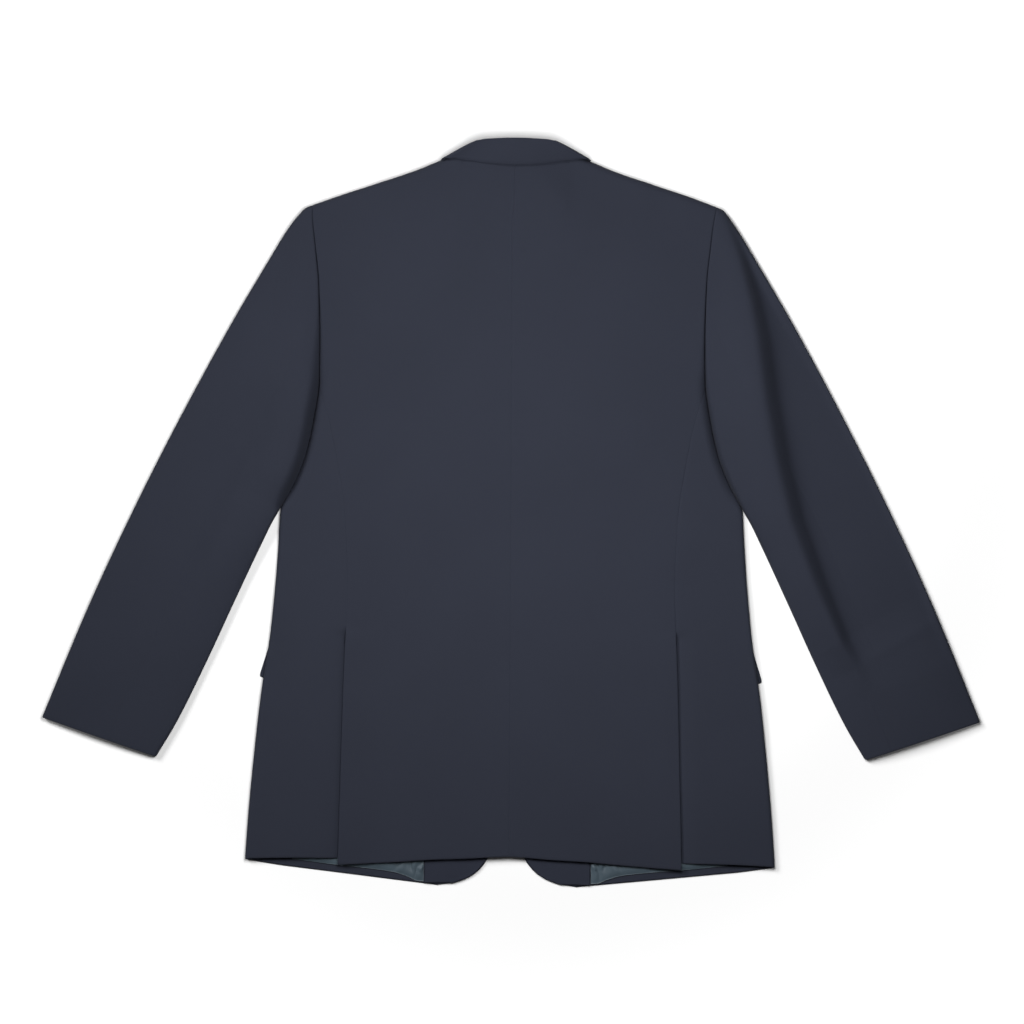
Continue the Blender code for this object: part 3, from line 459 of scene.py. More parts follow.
def front_grid(side):
    """A front, from its edge or roll line out to the side seam and up to the shoulder."""
    s = spread(FRONT_WIDE, 7.0)
    rows = []
    for part in spread(FRONT_LONG, 8.0):
        y_side = mix(SIDE_HEM["y"][-1], FRONT_SEAM_TOP, part)
        y_edge = mix(FRONT_EDGE["y"][0], FRONT_SEAM_TOP, part**1.2)
        x = mix(x_at(FRONT_EDGE, y_edge), x_at(FRONT_SEAM, y_side), s)
        y = mix(y_edge, y_side, s)
        rows.append(points_at(x, y, front_lift(x, y, side)))
    rows.pop()
    neck_y = y_at(SHOULDER, NECK_POINT_X)
    marks = [neck_y, neck_y, neck_y - 3, neck_y - 8, 365, 322, 282, 235, 185, 142, FRONT_SEAM_TOP]
    for k in (*range(FRONT_MARK, TIP_LAST + 1, -2), *range(TIP_LAST, -1, -1)):
        mark = ring_marks[k]
        y_edge = np.interp(mark, range(len(marks)), marks)
        fade = ease((9 - mark) / 7) if mark > TIP_MARK else 1.0
        x = mix(x_at(FRONT_EDGE, y_edge), UNDER_RING[k][0], s)
        line = shoulder_y(mix(NECK_POINT_X, SHOULDER_TIP_X, s)) - mix(neck_y, SHOULDER_TIP_Y, s)
        y = mix(y_edge, UNDER_RING[k][1], s) + fade * line
        z = front_lift(x, y, side)
        if k < TIP_LAST:
            turn = math.radians(TIP_ANGLES[k])
            x = mix(NECK_POINT_X, SHOULDER_TIP_X, s)
            low, high = ridge(x)
            y = shoulder_y(x) - (1 - math.cos(turn)) * SHOULDER_ROLL
            z = mix(high, low, (1 + math.sin(turn)) / 2)
        row = points_at(x, y, z)
        row[-1] = UNDER_RING[k]
        rows.append(row)
    return np.array(rows)


# %% [markdown]
# A sleeve is a flattened tube with two seams. The hindarm seam runs down its upper face and the
# forearm seam down its underside, so the top sleeve wraps the outer edge and the under sleeve the
# inner edge. The upper face swells gently between the two folded edges.

# %% sleeve grids
PLATEAU = (HOLE_TOP - FINE_ROWS) / (HOLE_TOP - HOLE_LOW)
FOREARM_MARK = FRONT_MARK
BULGE_PART, JOIN_PART = 0.5, 0.05


def sleeve_face(values, along, upper):
    """Points of a sleeve across one face: its outer roll, the flat between, and its inner roll."""
    outer_y = mix(SHOULDER_TIP_Y, SLEEVE_OUTER["y"][0], along)
    inner_y = mix(CROTCH_Y, SLEEVE_INNER["y"][0], along)
    outer = np.array([x_at(SLEEVE_OUTER, outer_y), outer_y])
    inner = np.array([x_at(SLEEVE_INNER, inner_y), inner_y])
    width = np.hypot(*(outer - inner))
    heights = ("outer_edge", "inner_edge", "crown")
    outer_high, inner_high, crown = (read(SLEEVE, "along", word, along) for word in heights)
    turn = np.radians(TIP_ANGLES[:-1])
    back, up = 1 - np.cos(turn), np.sin(turn)
    start, end = outer_high / 2 / width, 1 - inner_high / 2 / width
    flat = mix(start, end, values)
    part = np.concatenate([back * start, flat, (1 - back * (1 - end))[::-1]])
    rise = np.concatenate([up, np.ones(len(values)), up[::-1]])
    middle = np.concatenate([
        np.full(len(turn), outer_high / 2), mix(outer_high, inner_high, flat) / 2,
        np.full(len(turn), inner_high / 2),
    ])
    y_ring = mix(SHOULDER_TIP_Y, CROTCH_Y, part)
    straight = mix(UPPER_RING[0][0], UPPER_RING[-1][0], part)
    bulge = (armhole_x(y_ring) - straight) * (1 - ease(along / BULGE_PART))
    z = middle * (1 + (rise if upper else -rise))
    if upper:
        z[len(turn) : len(turn) + len(values)] += crown * (4 * values * (1 - values)).clip(0) ** 0.8
    place = outer + (inner - outer) * part[:, None]
    return points_at(place[:, 0] + bulge, place[:, 1], z)


def sleeve_grids():
    """The top sleeve and the under sleeve, each from the hindarm seam round its own edge."""
    tops, unders = [], []
    hindarm = HINDARM_MARK - TIP_LAST
    for along in spread(SLEEVE_LONG, 4.2):
        seam = read(SLEEVE, "along", "hindarm", along)
        first, rest = PLATEAU[: hindarm + 1], PLATEAU[hindarm:]
        beyond = seam + (rest[1:] - rest[0]) / (1 - rest[0]) * (1 - seam)
        values = np.concatenate([first / first[-1] * seam, beyond])
        upper, under = sleeve_face(values, along, True), sleeve_face(PLATEAU, along, False)
        if along == 0:
            moved_upper, moved_under = UPPER_RING - upper, UNDER_RING - under
        fade = 1 - ease(along / JOIN_PART)
        upper, under = upper + moved_upper * fade, under + moved_under * fade
        tops.append(np.concatenate([upper[HINDARM_MARK::-1], under[1 : FOREARM_MARK + 1]]))
        unders.append(np.concatenate([upper[HINDARM_MARK:], under[-2 : FOREARM_MARK - 1 : -1]]))
    return np.array(tops), np.array(unders)


grids = (back_grid(), side_grid(), front_grid(LEFT), *sleeve_grids())
print("grids of the back, side, front, top sleeve and under sleeve:", [g.shape for g in grids])

# %% [markdown]
# Cloth never stays perfectly smooth. A fold here follows a line of a few points, each with its own
# depth and width. It is either a soft trough or a deep fold, which swells up, falls and stays low
# beyond. Because the whole grid is pressed by the same rule, a fold crosses a seam without a step.

# %% folds


def trough(x, y, line, ridge_part=0.2):
    """A soft trough along a line, with a low ridge on its inner side."""
    gap, side, depth, width = nearest(x, y, line)
    ridge = np.exp(-(((gap * side + 1.7 * width) / (1.2 * width)) ** 2))
    return depth * (ridge_part * ridge - np.exp(-((gap / width) ** 2)))


def deep_fold(x, y, line):
    """A fold that swells up to its line and falls steeply beyond it, then more and more gently."""
    gap, side, depth, width = nearest(x, y, line)
    at = gap * side / width
    steep = 2 * np.log1p(np.exp(np.clip((np.minimum(at, 9) + 1) / 2, -30, 30)))
    slow = 10 * (1 - np.exp(-np.maximum(at - 9, 0) / 10))
    swell = np.where(at < 0, np.exp(-((at / 30) ** 2)), 1.0)
    return depth * (0.45 * swell - (steep + slow) / 20)


def drift(grid, seed, size, height):
    """A slow unevenness over the whole piece, as cloth has that was never pressed quite flat."""
    flat = grid.reshape(-1, 3)
    offset = Vector((seed * 7.31, seed * 3.17, seed))
    made = [noise.noise(Vector((p[0] / size, p[1] / size, 0)) + offset) for p in flat]
    return height * np.array(made).reshape(grid.shape[:2])


def outward(grid, turned):
    """The direction out of the cloth at each point of a grid."""
    along_row, along_column = np.gradient(grid, axis=1), np.gradient(grid, axis=0)
    made = np.cross(along_row, along_column) * turned
    return made / np.maximum(np.linalg.norm(made, axis=2, keepdims=True), 1e-9)


def edge_distance(grid, edge):
    """How far each point lies from one edge of its grid, measured along the cloth."""
    axis = 0 if "row" in edge else 1
    steps = np.linalg.norm(np.diff(grid, axis=axis), axis=2)
    zero = np.zeros_like(np.take(steps, [0], axis=axis))
    if "first" in edge:
        return np.concatenate([zero, np.cumsum(steps, axis=axis)], axis=axis)
    back = np.flip(np.cumsum(np.flip(steps, axis=axis), axis=axis), axis=axis)
    return np.concatenate([back, zero], axis=axis)


def rolled_under(far, reach):
    """A quarter circle: 1 at an edge, and level from the reach on."""
    part = np.clip(1 - far / reach, 0, 1)
    return 1 - np.sqrt(np.clip(1 - part**2, 0, 1))


SHARP_EDGE, SHARP_REACH, ROUND_REACH = 0.8, 2.3, 0.6
PUCKER_REACH, PUCKER_SIZE, PUCKER_CHANGE = 7.0, 9.0, 2.0


def sewn(grid, turned, edges, pucker=0.0, seed=1):
    """Turns each named edge in by its own depth, and lets a seam pull the cloth a little."""
    normal = outward(grid, turned)
    made = grid.copy()
    for edge, depth in edges.items():
        far = edge_distance(grid, edge)
        beyond = max(depth - SHARP_EDGE, 0)
        reach = 1.0 + SHARP_REACH * min(depth, SHARP_EDGE) + ROUND_REACH * beyond
        sink = depth * rolled_under(far, reach)
        if pucker:
            uneven = 1 + drift(grid, seed, PUCKER_SIZE, PUCKER_CHANGE)
            sink = sink + pucker * np.exp(-far / PUCKER_REACH) * uneven
        made -= normal * sink[:, :, None]
        axis = 0 if "row" in edge else 1
        at, beside = (0, 1) if "first" in edge else (grid.shape[axis] - 1, grid.shape[axis] - 2)
        here, inner = np.take(grid, at, axis=axis), np.take(grid, beside, axis=axis)
        way = (inner - here) / np.maximum(np.linalg.norm(inner - here, axis=1, keepdims=True), 1e-9)
        if axis == 0:
            made[at] += way * SEAM_GAP / 2
        else:
            made[:, at] += way * SEAM_GAP / 2
    return made


def lay(grid, side, kind="body"):
    """Puts a half's grid on its own side, as the garment was laid down."""
    x, y, z = axes(grid)
    shift = SHOULDER_SHIFT * ease((y - SHIFT_FROM) / SHIFT_REACH)
    if kind == "front":
        lowered = ease((FRONT_FROM - y) / FRONT_REACH)
        shift = shift + FRONT_SHIFT * lowered * ease(1 - x / FRONT_FADE)
    slant = 0.0 if kind == "sleeve" else HEM_SLANT * ease(-y / SLANT_REACH)
    pulled = x * RIGHT_STRETCH if side == RIGHT else x
    return points_at(side * pulled + shift, y - slant * side * x, z)


ARM_GROOVE = table(
    "y left right",
    (0, 4.0, 3.5), (12, 7.5, 6.0), (32, 12.0, 10.5), (58, 13.5, 12.0), (100, 13.5, 12.0),
    (125, 13.0, 11.0), (160, 8.0, 5.4), (204, 4.2, 2.6), (240, 2.0, 1.3), (282, 1.0, 0.7),
    (320, 0.5, 0.4), (343, 0.2, 0.2),
)
ARM_REACH = {
    ("body", LEFT): 9.5, ("sleeve", LEFT): 12.0, ("body", RIGHT): 11.0, ("sleeve", RIGHT): 5.0
}
SLEEVE_SWELL, SWELL_REACH, SWELL_FULL = 6.5, 14.0, 12.0
GROOVE_FLOOR, GROOVE_FADE, GROOVE_FULL, GROOVE_LEAST, GROOVE_PART = 2.0, 9.0, 8.0, 0.3, 0.85


def armhole_groove(grid, which, side):
    """Rolls the cloth down into the armhole seam, so that two round edges meet in a dark cleft.

    It is deepest low down, where the sleeve is bunched against the body."""
    x, y, z = axes(grid)
    far, _, height = nearest(x, y, [(a[0], a[1], a[1]) for a in UPPER_RING])
    deep = read(ARM_GROOVE, "y", "left" if side == LEFT else "right", height)
    reach = ARM_REACH[which, side] * np.clip(deep / GROOVE_FULL, GROOVE_LEAST, 1.0)
    sink = deep * rolled_under(far, reach)
    if (which, side) == ("sleeve", LEFT):
        bunched = SLEEVE_SWELL * np.clip(deep / SWELL_FULL, 0, 1) ** 1.5
        part = far / SWELL_REACH
        sink = sink * (1 + SLEEVE_SWELL / SWELL_REACH) - bunched * part * np.exp(1 - part)
    room = np.maximum(z - GROOVE_FLOOR, 0.1) * GROOVE_PART
    grid[:, :, 2] = z - room * np.tanh(ease((z - GROOVE_FLOOR) / GROOVE_FADE) * sink / room)
    return grid


# %% [markdown]
# A grid becomes a piece of cloth: faces between its points, a UV map laid out in metres so that a
# weave has its true scale and runs with the panel, and a Solidify modifier that gives the cloth
# its thickness behind the face. The piece then takes the place of its plain solid in the frame.

# %% from grid to cloth
FLOOR = "floor"
TABLE_GAP = 0.05 * MM
CLOTH_SMOOTH, BUTTON_SMOOTH = 55, 35


def select_only(*pieces):
    bpy.ops.object.select_all(action="DESELECT")
    for piece in pieces:
        piece.select_set(True)
        bpy.context.view_layer.objects.active = piece


def apply_modifier(piece, kind, **settings):
    made = piece.modifiers.new(kind, kind)
    for key, value in settings.items():
        setattr(made, key, value)
    bpy.context.view_layer.objects.active = piece
    bpy.ops.object.modifier_apply(modifier=made.name)


def smooth(piece, angle):
    """Shades a piece softly, but keeps its sharp edges."""
    select_only(piece)
    bpy.ops.object.shade_smooth_by_angle(angle=math.radians(angle))


def cut_size(net):
    """Area and greatest width of the flat cut that a grid was laid from, in metres."""
    right, up = net[:-1, 1:] - net[:-1, :-1], net[1:, :-1] - net[:-1, :-1]
    strips = np.linalg.norm(np.cross(right, up), axis=2).sum(1)
    steps = np.linalg.norm(up, axis=2).mean(1)
    return float(strips.sum()) * MM * MM, float(np.quantile(strips / steps, 0.95)) * MM


def cloth(name, grid, wall, turned, node, look, bands=()):
    """Makes one piece of cloth from a grid in millimetres, and any further grids joined to it."""
    bm = bmesh.new()
    uv = bm.loops.layers.uv.new("UVMap")
    for net in (grid, *bands):
        rows, columns = net.shape[:2]
        points = (net - (0, CENTRE_Y, 0)) * MM
        across = edge_distance(net, "first_column") * MM
        along = edge_distance(net, "first_row") * MM
        along = np.repeat(along[:, [columns // 2]], columns, axis=1)
        across = across - across[:, [columns // 2]]
        verts = [[bm.verts.new(p) for p in row] for row in points.tolist()]
        for i in range(rows - 1):
            for j in range(columns - 1):
                around = [(i, j), (i, j + 1), (i + 1, j + 1), (i + 1, j)]
                if turned < 0:
                    around.reverse()
                made = bm.faces.new([verts[a][b] for a, b in around])
                for loop, (a, b) in zip(made.loops, around):
                    loop[uv].uv = across[a, b], along[a, b]
    if bands:
        bmesh.ops.remove_doubles(bm, verts=bm.verts, dist=1e-7)
    mesh = bpy.data.meshes.new(name)
    bm.to_mesh(mesh)
    bm.free()
    mesh.shade_smooth()
    piece = bpy.data.objects.new(name, mesh)
    bpy.context.scene.collection.objects.link(piece)
    apply_modifier(piece, "SOLIDIFY", thickness=wall * MM, offset=-1.0, use_even_offset=False)
    spots = np.empty(len(piece.data.vertices) * 3)
    piece.data.vertices.foreach_get("co", spots)
    spots[2::3] = np.maximum(spots[2::3], TABLE_GAP)
    piece.data.vertices.foreach_set("co", spots)
    mesh.materials.append(look)
    smooth(piece, CLOTH_SMOOTH)
    area, width = cut_size(grid)
    for band in bands:
        more, wider = cut_size(band)
        area, width = area + more, width + wider
    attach(piece, "root")
    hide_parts(*([node] if isinstance(node, str) else node))


# %% [markdown]
# The wool is a fine twill: threads cross two over and two under, so faint diagonal ribs run over
# the cloth. Its navy is spun from fibres of slightly different blues, and the ribs catch a little
# light. The pattern reads the UV map, which is in metres, so the ribs keep their real spacing.

# %% wool


def fed(tree, node, sockets):
    """Gives each named socket a constant, or lets it follow another node's output."""
    for key, value in sockets.items():
        if isinstance(value, bpy.types.NodeSocket):
            tree.links.new(value, node.inputs[key])
        else:
            node.inputs[key].default_value = value
    return node


def node_of(tree, kind, sockets=None, **settings):
    made = tree.nodes.new("ShaderNode" + kind)
    for key, value in settings.items():
        setattr(made, key, value)
    return fed(tree, made, sockets or {})


def ranged(tree, value, low, high, start=0.0, end=1.0, **settings):
    """A value from start to end, laid out anew from low to high."""
    sockets = {"Value": value, "From Min": start, "From Max": end, "To Min": low, "To Max": high}
    return node_of(tree, "MapRange", sockets, **settings).outputs["Result"]


def blend(tree, dark, light, factor):
    sockets = {"A": (*dark, 1), "B": (*light, 1), "Factor": factor}
    return node_of(tree, "Mix", sockets, data_type="RGBA").outputs["Result"]


def bump(tree, height, strength, distance):
    sockets = {"Height": height, "Strength": strength, "Distance": distance}
    return node_of(tree, "Bump", sockets).outputs["Normal"]


def material(name):
    """A new material, with its node tree, its shader, and its two kinds of coordinates."""
    made = bpy.data.materials.new(name)
    made.use_nodes = True
    tree = made.node_tree
    uv = node_of(tree, "UVMap", uv_map="UVMap").outputs["UV"]
    place = node_of(tree, "TexCoord").outputs["Object"]
    return made, tree, tree.nodes["Principled BSDF"], uv, place


def wool(name, dark, light, rib=0.00075, turn=0.9):
    """Worsted twill with its rib spacing in metres."""
    made, tree, shader, uv, place = material(name)
    turned = node_of(
        tree, "Mapping", {"Vector": uv, "Rotation": (0, 0, turn), "Scale": (1 / rib, 1 / rib, 1)}
    )
    ribs = node_of(
        tree, "TexWave",
        {"Vector": turned.outputs["Vector"], "Scale": 0.314, "Distortion": 1.2, "Detail": 2.0,
         "Detail Scale": 1.6},
        wave_type="BANDS", bands_direction="X",
    ).outputs["Fac"]
    fibre = node_of(tree, "TexNoise", {"Vector": uv, "Scale": 900.0, "Detail": 3.0}).outputs["Fac"]
    cloudy = node_of(tree, "TexNoise", {"Vector": place, "Scale": 9.0, "Detail": 2.0})
    both = node_of(tree, "Math", {0: fibre, 1: 0.7, 2: ribs}, operation="MULTIPLY_ADD")
    both = both.outputs["Value"]
    navy = blend(tree, dark, light, ranged(tree, both, 0.0, 1.0, 0.15, 1.5))
    tinted = node_of(
        tree, "HueSaturation",
        {"Value": ranged(tree, cloudy.outputs["Fac"], 0.94, 1.06), "Color": navy},
    ).outputs["Color"]
    fed(tree, shader, {
        "Base Color": tinted, "Roughness": ranged(tree, fibre, 0.80, 0.94),
        "Normal": bump(tree, both, 0.35, 0.00012),
        "Sheen Weight": 0.012, "Sheen Roughness": 0.45, "Specular IOR Level": 0.09,
    })
    return made


navy_wool = wool("navy_twill", (0.0131, 0.0150, 0.0232), (0.0245, 0.0278, 0.0406))
facing_wool = wool(
    "navy_twill_facing", (0.0126, 0.0145, 0.0228), (0.0237, 0.0270, 0.0400), turn=0.6
)
print("wool ready")

# %% [markdown]
# The lining is a smooth blue-grey twill of viscose. It is thin and shiny, so its small wrinkles
# show as light and dark, while its weave is too fine to see from a step away.

# %% lining and horn


def satin(name, dark, light):
    """Thin shiny lining with a fine diagonal weave."""
    made, tree, shader, uv, _ = material(name)
    weave = node_of(
        tree, "TexWave", {"Vector": uv, "Scale": 700.0, "Distortion": 0.6},
        wave_type="BANDS", bands_direction="DIAGONAL",
    ).outputs["Fac"]
    soft = node_of(tree, "TexNoise", {"Vector": uv, "Scale": 60.0}).outputs["Fac"]
    fed(tree, shader, {
        "Base Color": blend(tree, dark, light, soft), "Roughness": ranged(tree, weave, 0.46, 0.58),
        "Normal": bump(tree, weave, 0.15, 0.00005),
        "Sheen Weight": 0.15, "Specular IOR Level": 0.3,
    })
    return made


def horn(name):
    """Dark horn: streaks along the grain and a soft polish."""
    made, tree, shader, _, place = material(name)
    grain = node_of(tree, "Mapping", {"Vector": place, "Scale": (60, 420, 60)}).outputs["Vector"]
    streaks = node_of(tree, "TexNoise", {"Vector": grain, "Scale": 1.4, "Detail": 4.0})
    streaks = streaks.outputs["Fac"]
    ramp = node_of(tree, "ValToRGB", {"Fac": streaks})
    ramp.color_ramp.elements[0].color = (0.006, 0.007, 0.010, 1)
    ramp.color_ramp.elements[1].color = (0.040, 0.036, 0.034, 1)
    fed(tree, shader, {
        "Base Color": ramp.outputs["Color"], "Roughness": ranged(tree, streaks, 0.22, 0.40)
    })
    return made


teal_lining = satin("blue_grey_lining", (0.030, 0.045, 0.058), (0.048, 0.070, 0.088))
dark_horn = horn("dark_horn")
print("lining and horn ready")

# %% [markdown]
# The jacket lies on a plain white table. A soft lamp hangs close above its back, which is why the
# cloth is lightest there and the floor shadow at the hem is short. A larger one stands far off,
# beyond the collar and to the left, and leaves the slopes that face right and down in shade. The
# table has painted shade: it is painted a little greyer under the jacket, where both lamps throw a
# pool of light on it, and far out it has a painted glow, so that it reads evenly white. The camera
# looks straight down on it from far away.

# %% floor, lights and camera
TABLE_WIDE, TABLE_DROP = 14, 0.0004
bpy.ops.mesh.primitive_plane_add(size=TABLE_WIDE, location=(0, 0, -TABLE_DROP))
floor = bpy.context.object
floor.name = FLOOR
white, tree, paper, _, place = material("white_table")
from_middle = node_of(
    tree, "VectorMath", {0: place, 1: (0.0, 0.1, 0.0)}, operation="DISTANCE"
).outputs["Value"]
soft = {"interpolation_type": "SMOOTHSTEP"}
# Painted shade near the middle and a painted glow far out even out the lamps' light on the table.
fed(tree, paper, {
    "Roughness": 0.9, "Specular IOR Level": 0.1, "Emission Color": (1, 1, 1, 1),
    "Base Color": ranged(tree, from_middle, 0.78, 0.96, 0.30, 1.00, **soft),
    "Emission Strength": ranged(tree, from_middle, 0.0, 0.35, 0.48, 0.85, **soft),
})
floor.data.materials.append(white)


def lamp(name, place, aim, size, power):
    data = bpy.data.lights.new(name, "AREA")
    data.shape = "DISK"
    data.size, data.energy = size, power
    made = bpy.data.objects.new(name, data)
    bpy.context.scene.collection.objects.link(made)
    made.location = place
    made.visible_camera = False
    made.rotation_euler = (Vector(aim) - Vector(place)).to_track_quat("-Z", "Y").to_euler()
    print(name, "at", place, "m,", power, "W")


lamp("large_softbox", (-3.1, 2.4, 3.5), (0, 0, 0), 1.8, 166)
lamp("near_softbox", (0.03, 0.13, 0.95), (0.03, 0.06, 0), 0.5, 12.2)
world = bpy.data.worlds.new("studio")
world.use_nodes = True
sky = world.node_tree.nodes["Background"]
fed(world.node_tree, sky, {"Color": (1, 1, 1, 1), "Strength": 0.04})
bpy.context.scene.world = world
bpy.context.scene.view_settings.view_transform = "Standard"

CAMERA_HEIGHT, CLOTH_HEIGHT, FRAME_WIDE, SENSOR = 3.2, 0.012, 1.147, 36
CAMERA_PLACE, CAMERA_ROLL = (0.0011, -0.0002), math.radians(0.3)
camera_data = bpy.data.cameras.new("catalogue_camera")
camera_data.sensor_width = SENSOR
camera_data.lens = SENSOR * (CAMERA_HEIGHT - CLOTH_HEIGHT) / FRAME_WIDE
camera = bpy.data.objects.new("catalogue_camera", camera_data)
bpy.context.scene.collection.objects.link(camera)
camera.location = (*CAMERA_PLACE, CAMERA_HEIGHT)
camera.rotation_euler = (0, 0, CAMERA_ROLL)
bpy.context.scene.camera = camera
print("camera", CAMERA_HEIGHT, "m up, lens", round(camera_data.lens, 1), "mm")

# %% [markdown]
# The two halves of the back carry the picture. They are pressed smooth, with a slow unevenness
# all over and a faint pull along the centre seam. Their outer edges roll down into the armholes.

# %% the back
for side, word in SIDES:
    edges = {"first_column": 0.18, "last_column": 0.3, "last_row": 0.4, "first_row": 0.8}
    grid = armhole_groove(back_grid(), "body", side)
    grid = lay(sewn(grid, 1, edges, pucker=0.06, seed=3 + side), side)
    grid[:, :, 2] += drift(grid, 5, 120.0, 0.9) * ease((grid[:, :, 1] + 388) / 30)
    cloth(f"back_half_{word}", grid, WALL, side, f"back_{word}", navy_wool)

# %% [markdown]
# Each side panel wraps the side of the body, so it is one band from the back seam round the fold
# to the front seam. Below the vent it runs on under the back as an underlap.

# %% the side panels
for side, word in SIDES:
    grid = armhole_groove(side_grid(), "body", side)
    low = int(np.searchsorted(grid[:, 0, 1], UNDERLAP_TOP))
    band = np.zeros((low, 9, 3))
    for i, part in enumerate(np.linspace(1, 0, 9)):
        x0, y0 = grid[:low, 0, 0], grid[:low, 0, 1]
        x = x0 - UNDERLAP * part
        lift = ease(1 - (x0 - x) / VENT_LIFT_REACH) * vent(y0)
        under = back_height(x, y0) + lift - WALL - 2 * GAP
        band[:, i] = points_at(x, y0, mix(grid[:low, 0, 2], under, ease(part * 4)))
    grid = sewn(grid, 1, {"last_column": 0.0, "last_row": 0.4, "first_row": 0.8})
    grid[low:] = sewn(grid[low:], 1, {"first_column": 0.3}, pucker=0.06, seed=8 + side)
    band[:, -1] = grid[:low, 0]
    cloth(
        f"side_panel_{word}", lay(grid, side), WALL, side, f"side_{word}", navy_wool,
        bands=[lay(band, side)],
    )

# %% [markdown]
# The fronts lie face down. Their outer faces touch the table, lifted only where a lapel, a flap or
# a button lies beneath. The left front lies lower than the right, because it is buttoned over it.
# Each front laps a little under its side panel, so that no light shows through the seam.

# %% the fronts
for side, word in SIDES:
    edges = {"last_column": 0.0, "last_row": 0.6, "first_row": 0.7, "first_column": 0.7}
    grid = sewn(front_grid(side), -1, edges)
    way = grid[:, -1] - grid[:, -2]
    grid[:, -1] += SEAM_LAP * way / np.linalg.norm(way, axis=1, keepdims=True)
    grid = lay(grid, side, "front")
    grid[:, :, 2] = np.maximum(grid[:, :, 2], 0)
    cloth(f"front_panel_{word}", grid, WALL, -side, f"front_{word}", navy_wool)

# %% [markdown]
# The sleeves. The wearer's right one has a deep soft crease that starts at the shoulder, slants
# over the elbow and dies out above the cuff. The left one has two gentler creases. A fold is
# never pressed below the floor that is set for it, so the two faces of a sleeve stay apart.

# %% the sleeves
SLEEVE_FOLDS = {
    RIGHT: [(deep_fold, [
        (236, 334, 1.0, 0.7), (244.4, 310, 7.0, 0.7), (254.6, 282, 13.0, 0.7),
        (266.8, 237, 20.0, 0.95), (274.5, 193, 24.0, 1.2), (283.6, 125, 27.0, 1.3),
        (296, 58, 27.0, 1.3), (312.8, -9, 27.0, 1.3), (338.6, -76, 24.0, 1.15),
        (368.7, -143, 16.0, 0.85), (386, -172, 4.0, 0.7), (400, -205, 0.4, 0.8),
    ])],
    LEFT: [
        (trough, [
            (249, 312, 0.6, 8), (261, 261, 1.2, 10), (271, 213, 1.4, 11), (285, 152, 0.8, 12),
            (297, 100, 0.0, 12),
        ]),
        (trough, [
            (272, 134, 0.8, 11), (279, 92, 1.6, 12), (298, 38, 2.0, 13), (320, -13, 1.8, 14),
            (339, -53, 1.4, 14), (352, -85, 0.4, 14),
        ]),
    ],
}
FOLD_FLOOR, FOLD_MARGIN, OUTER_SLANT = 6.0, 11.0, 0.89
for side, word in SIDES:
    for grid, part, turned in zip(sleeve_grids(), ("top", "under"), (-1, 1)):
        grid = armhole_groove(grid, "sleeve", side)
        x, y, z = axes(grid)
        from_outer = (x_at(SLEEVE_OUTER, y) - x) * OUTER_SLANT
        for press, line in SLEEVE_FOLDS[side]:
            room = np.maximum(z - FOLD_FLOOR, 1e-6)
            change = press(x, y, line) * ease((z - 5.0) / 4.0) * ease(from_outer / FOLD_MARGIN)
            z += np.where(change < 0, -room * np.tanh(-change / room), change)
        upper = ease((z - FOLD_FLOOR) / 3.0)
        edges = {"first_column": 0.06, "last_column": 0.4, "first_row": 0.4, "last_row": 0.8}
        grid = sewn(grid, turned, edges, pucker=0.02, seed=12 + side)
        uneven = drift(grid, 9 + side, 70.0, 0.7) * ease(edge_distance(grid, "first_row") / 30)
        grid[:, :, 2] = np.maximum(grid[:, :, 2] + upper * uneven, 0)
        cloth(
            f"{part}_sleeve_{word}", lay(grid, side, "sleeve"), SLEEVE_WALL, turned * side,
            f"sleeve_{part}_{word}", navy_wool,
        )

# %% [markdown]
# Below the hem of the back the insides of the fronts show: first the facing, which is the same
# navy wool, and then the lining, which is longer than it needs to be and so lies in small pleats.

# %% facings and lining
LINING_HEM = table(
    "x y",
    (93.6, -416.6), (101, -416.0), (112, -411.5), (126, -407.2), (150, -403.8), (195, -399.5),
    (244, -393.5),
)
LINING_FOLDS = [
    [(91, -386, 1.2, 1.6), (96, -394, 2.6, 1.7), (100.5, -399, 2.8, 1.6), (103, -408, 1.6, 1.6),
     (103, -416, 0.4, 1.6)],
    [(106, -386, 1.6, 1.5), (108.5, -396, 1.8, 1.6), (107.5, -403, 0.4, 1.8)],
    [(118, -385, 1.0, 2.6), (124, -398, 1.2, 2.8), (131, -408, 0.4, 3.0)],
    [(150, -384, 0.7, 4.0), (161, -402, 0.9, 4.4)],
]
FACING_LOW, FACING_TOP, FACING_IN, FACING_INSET = -417.6, -361.0, 93.0, 1.3
LINING_LONG, PLEAT_LIFT = 47.0, 1.2
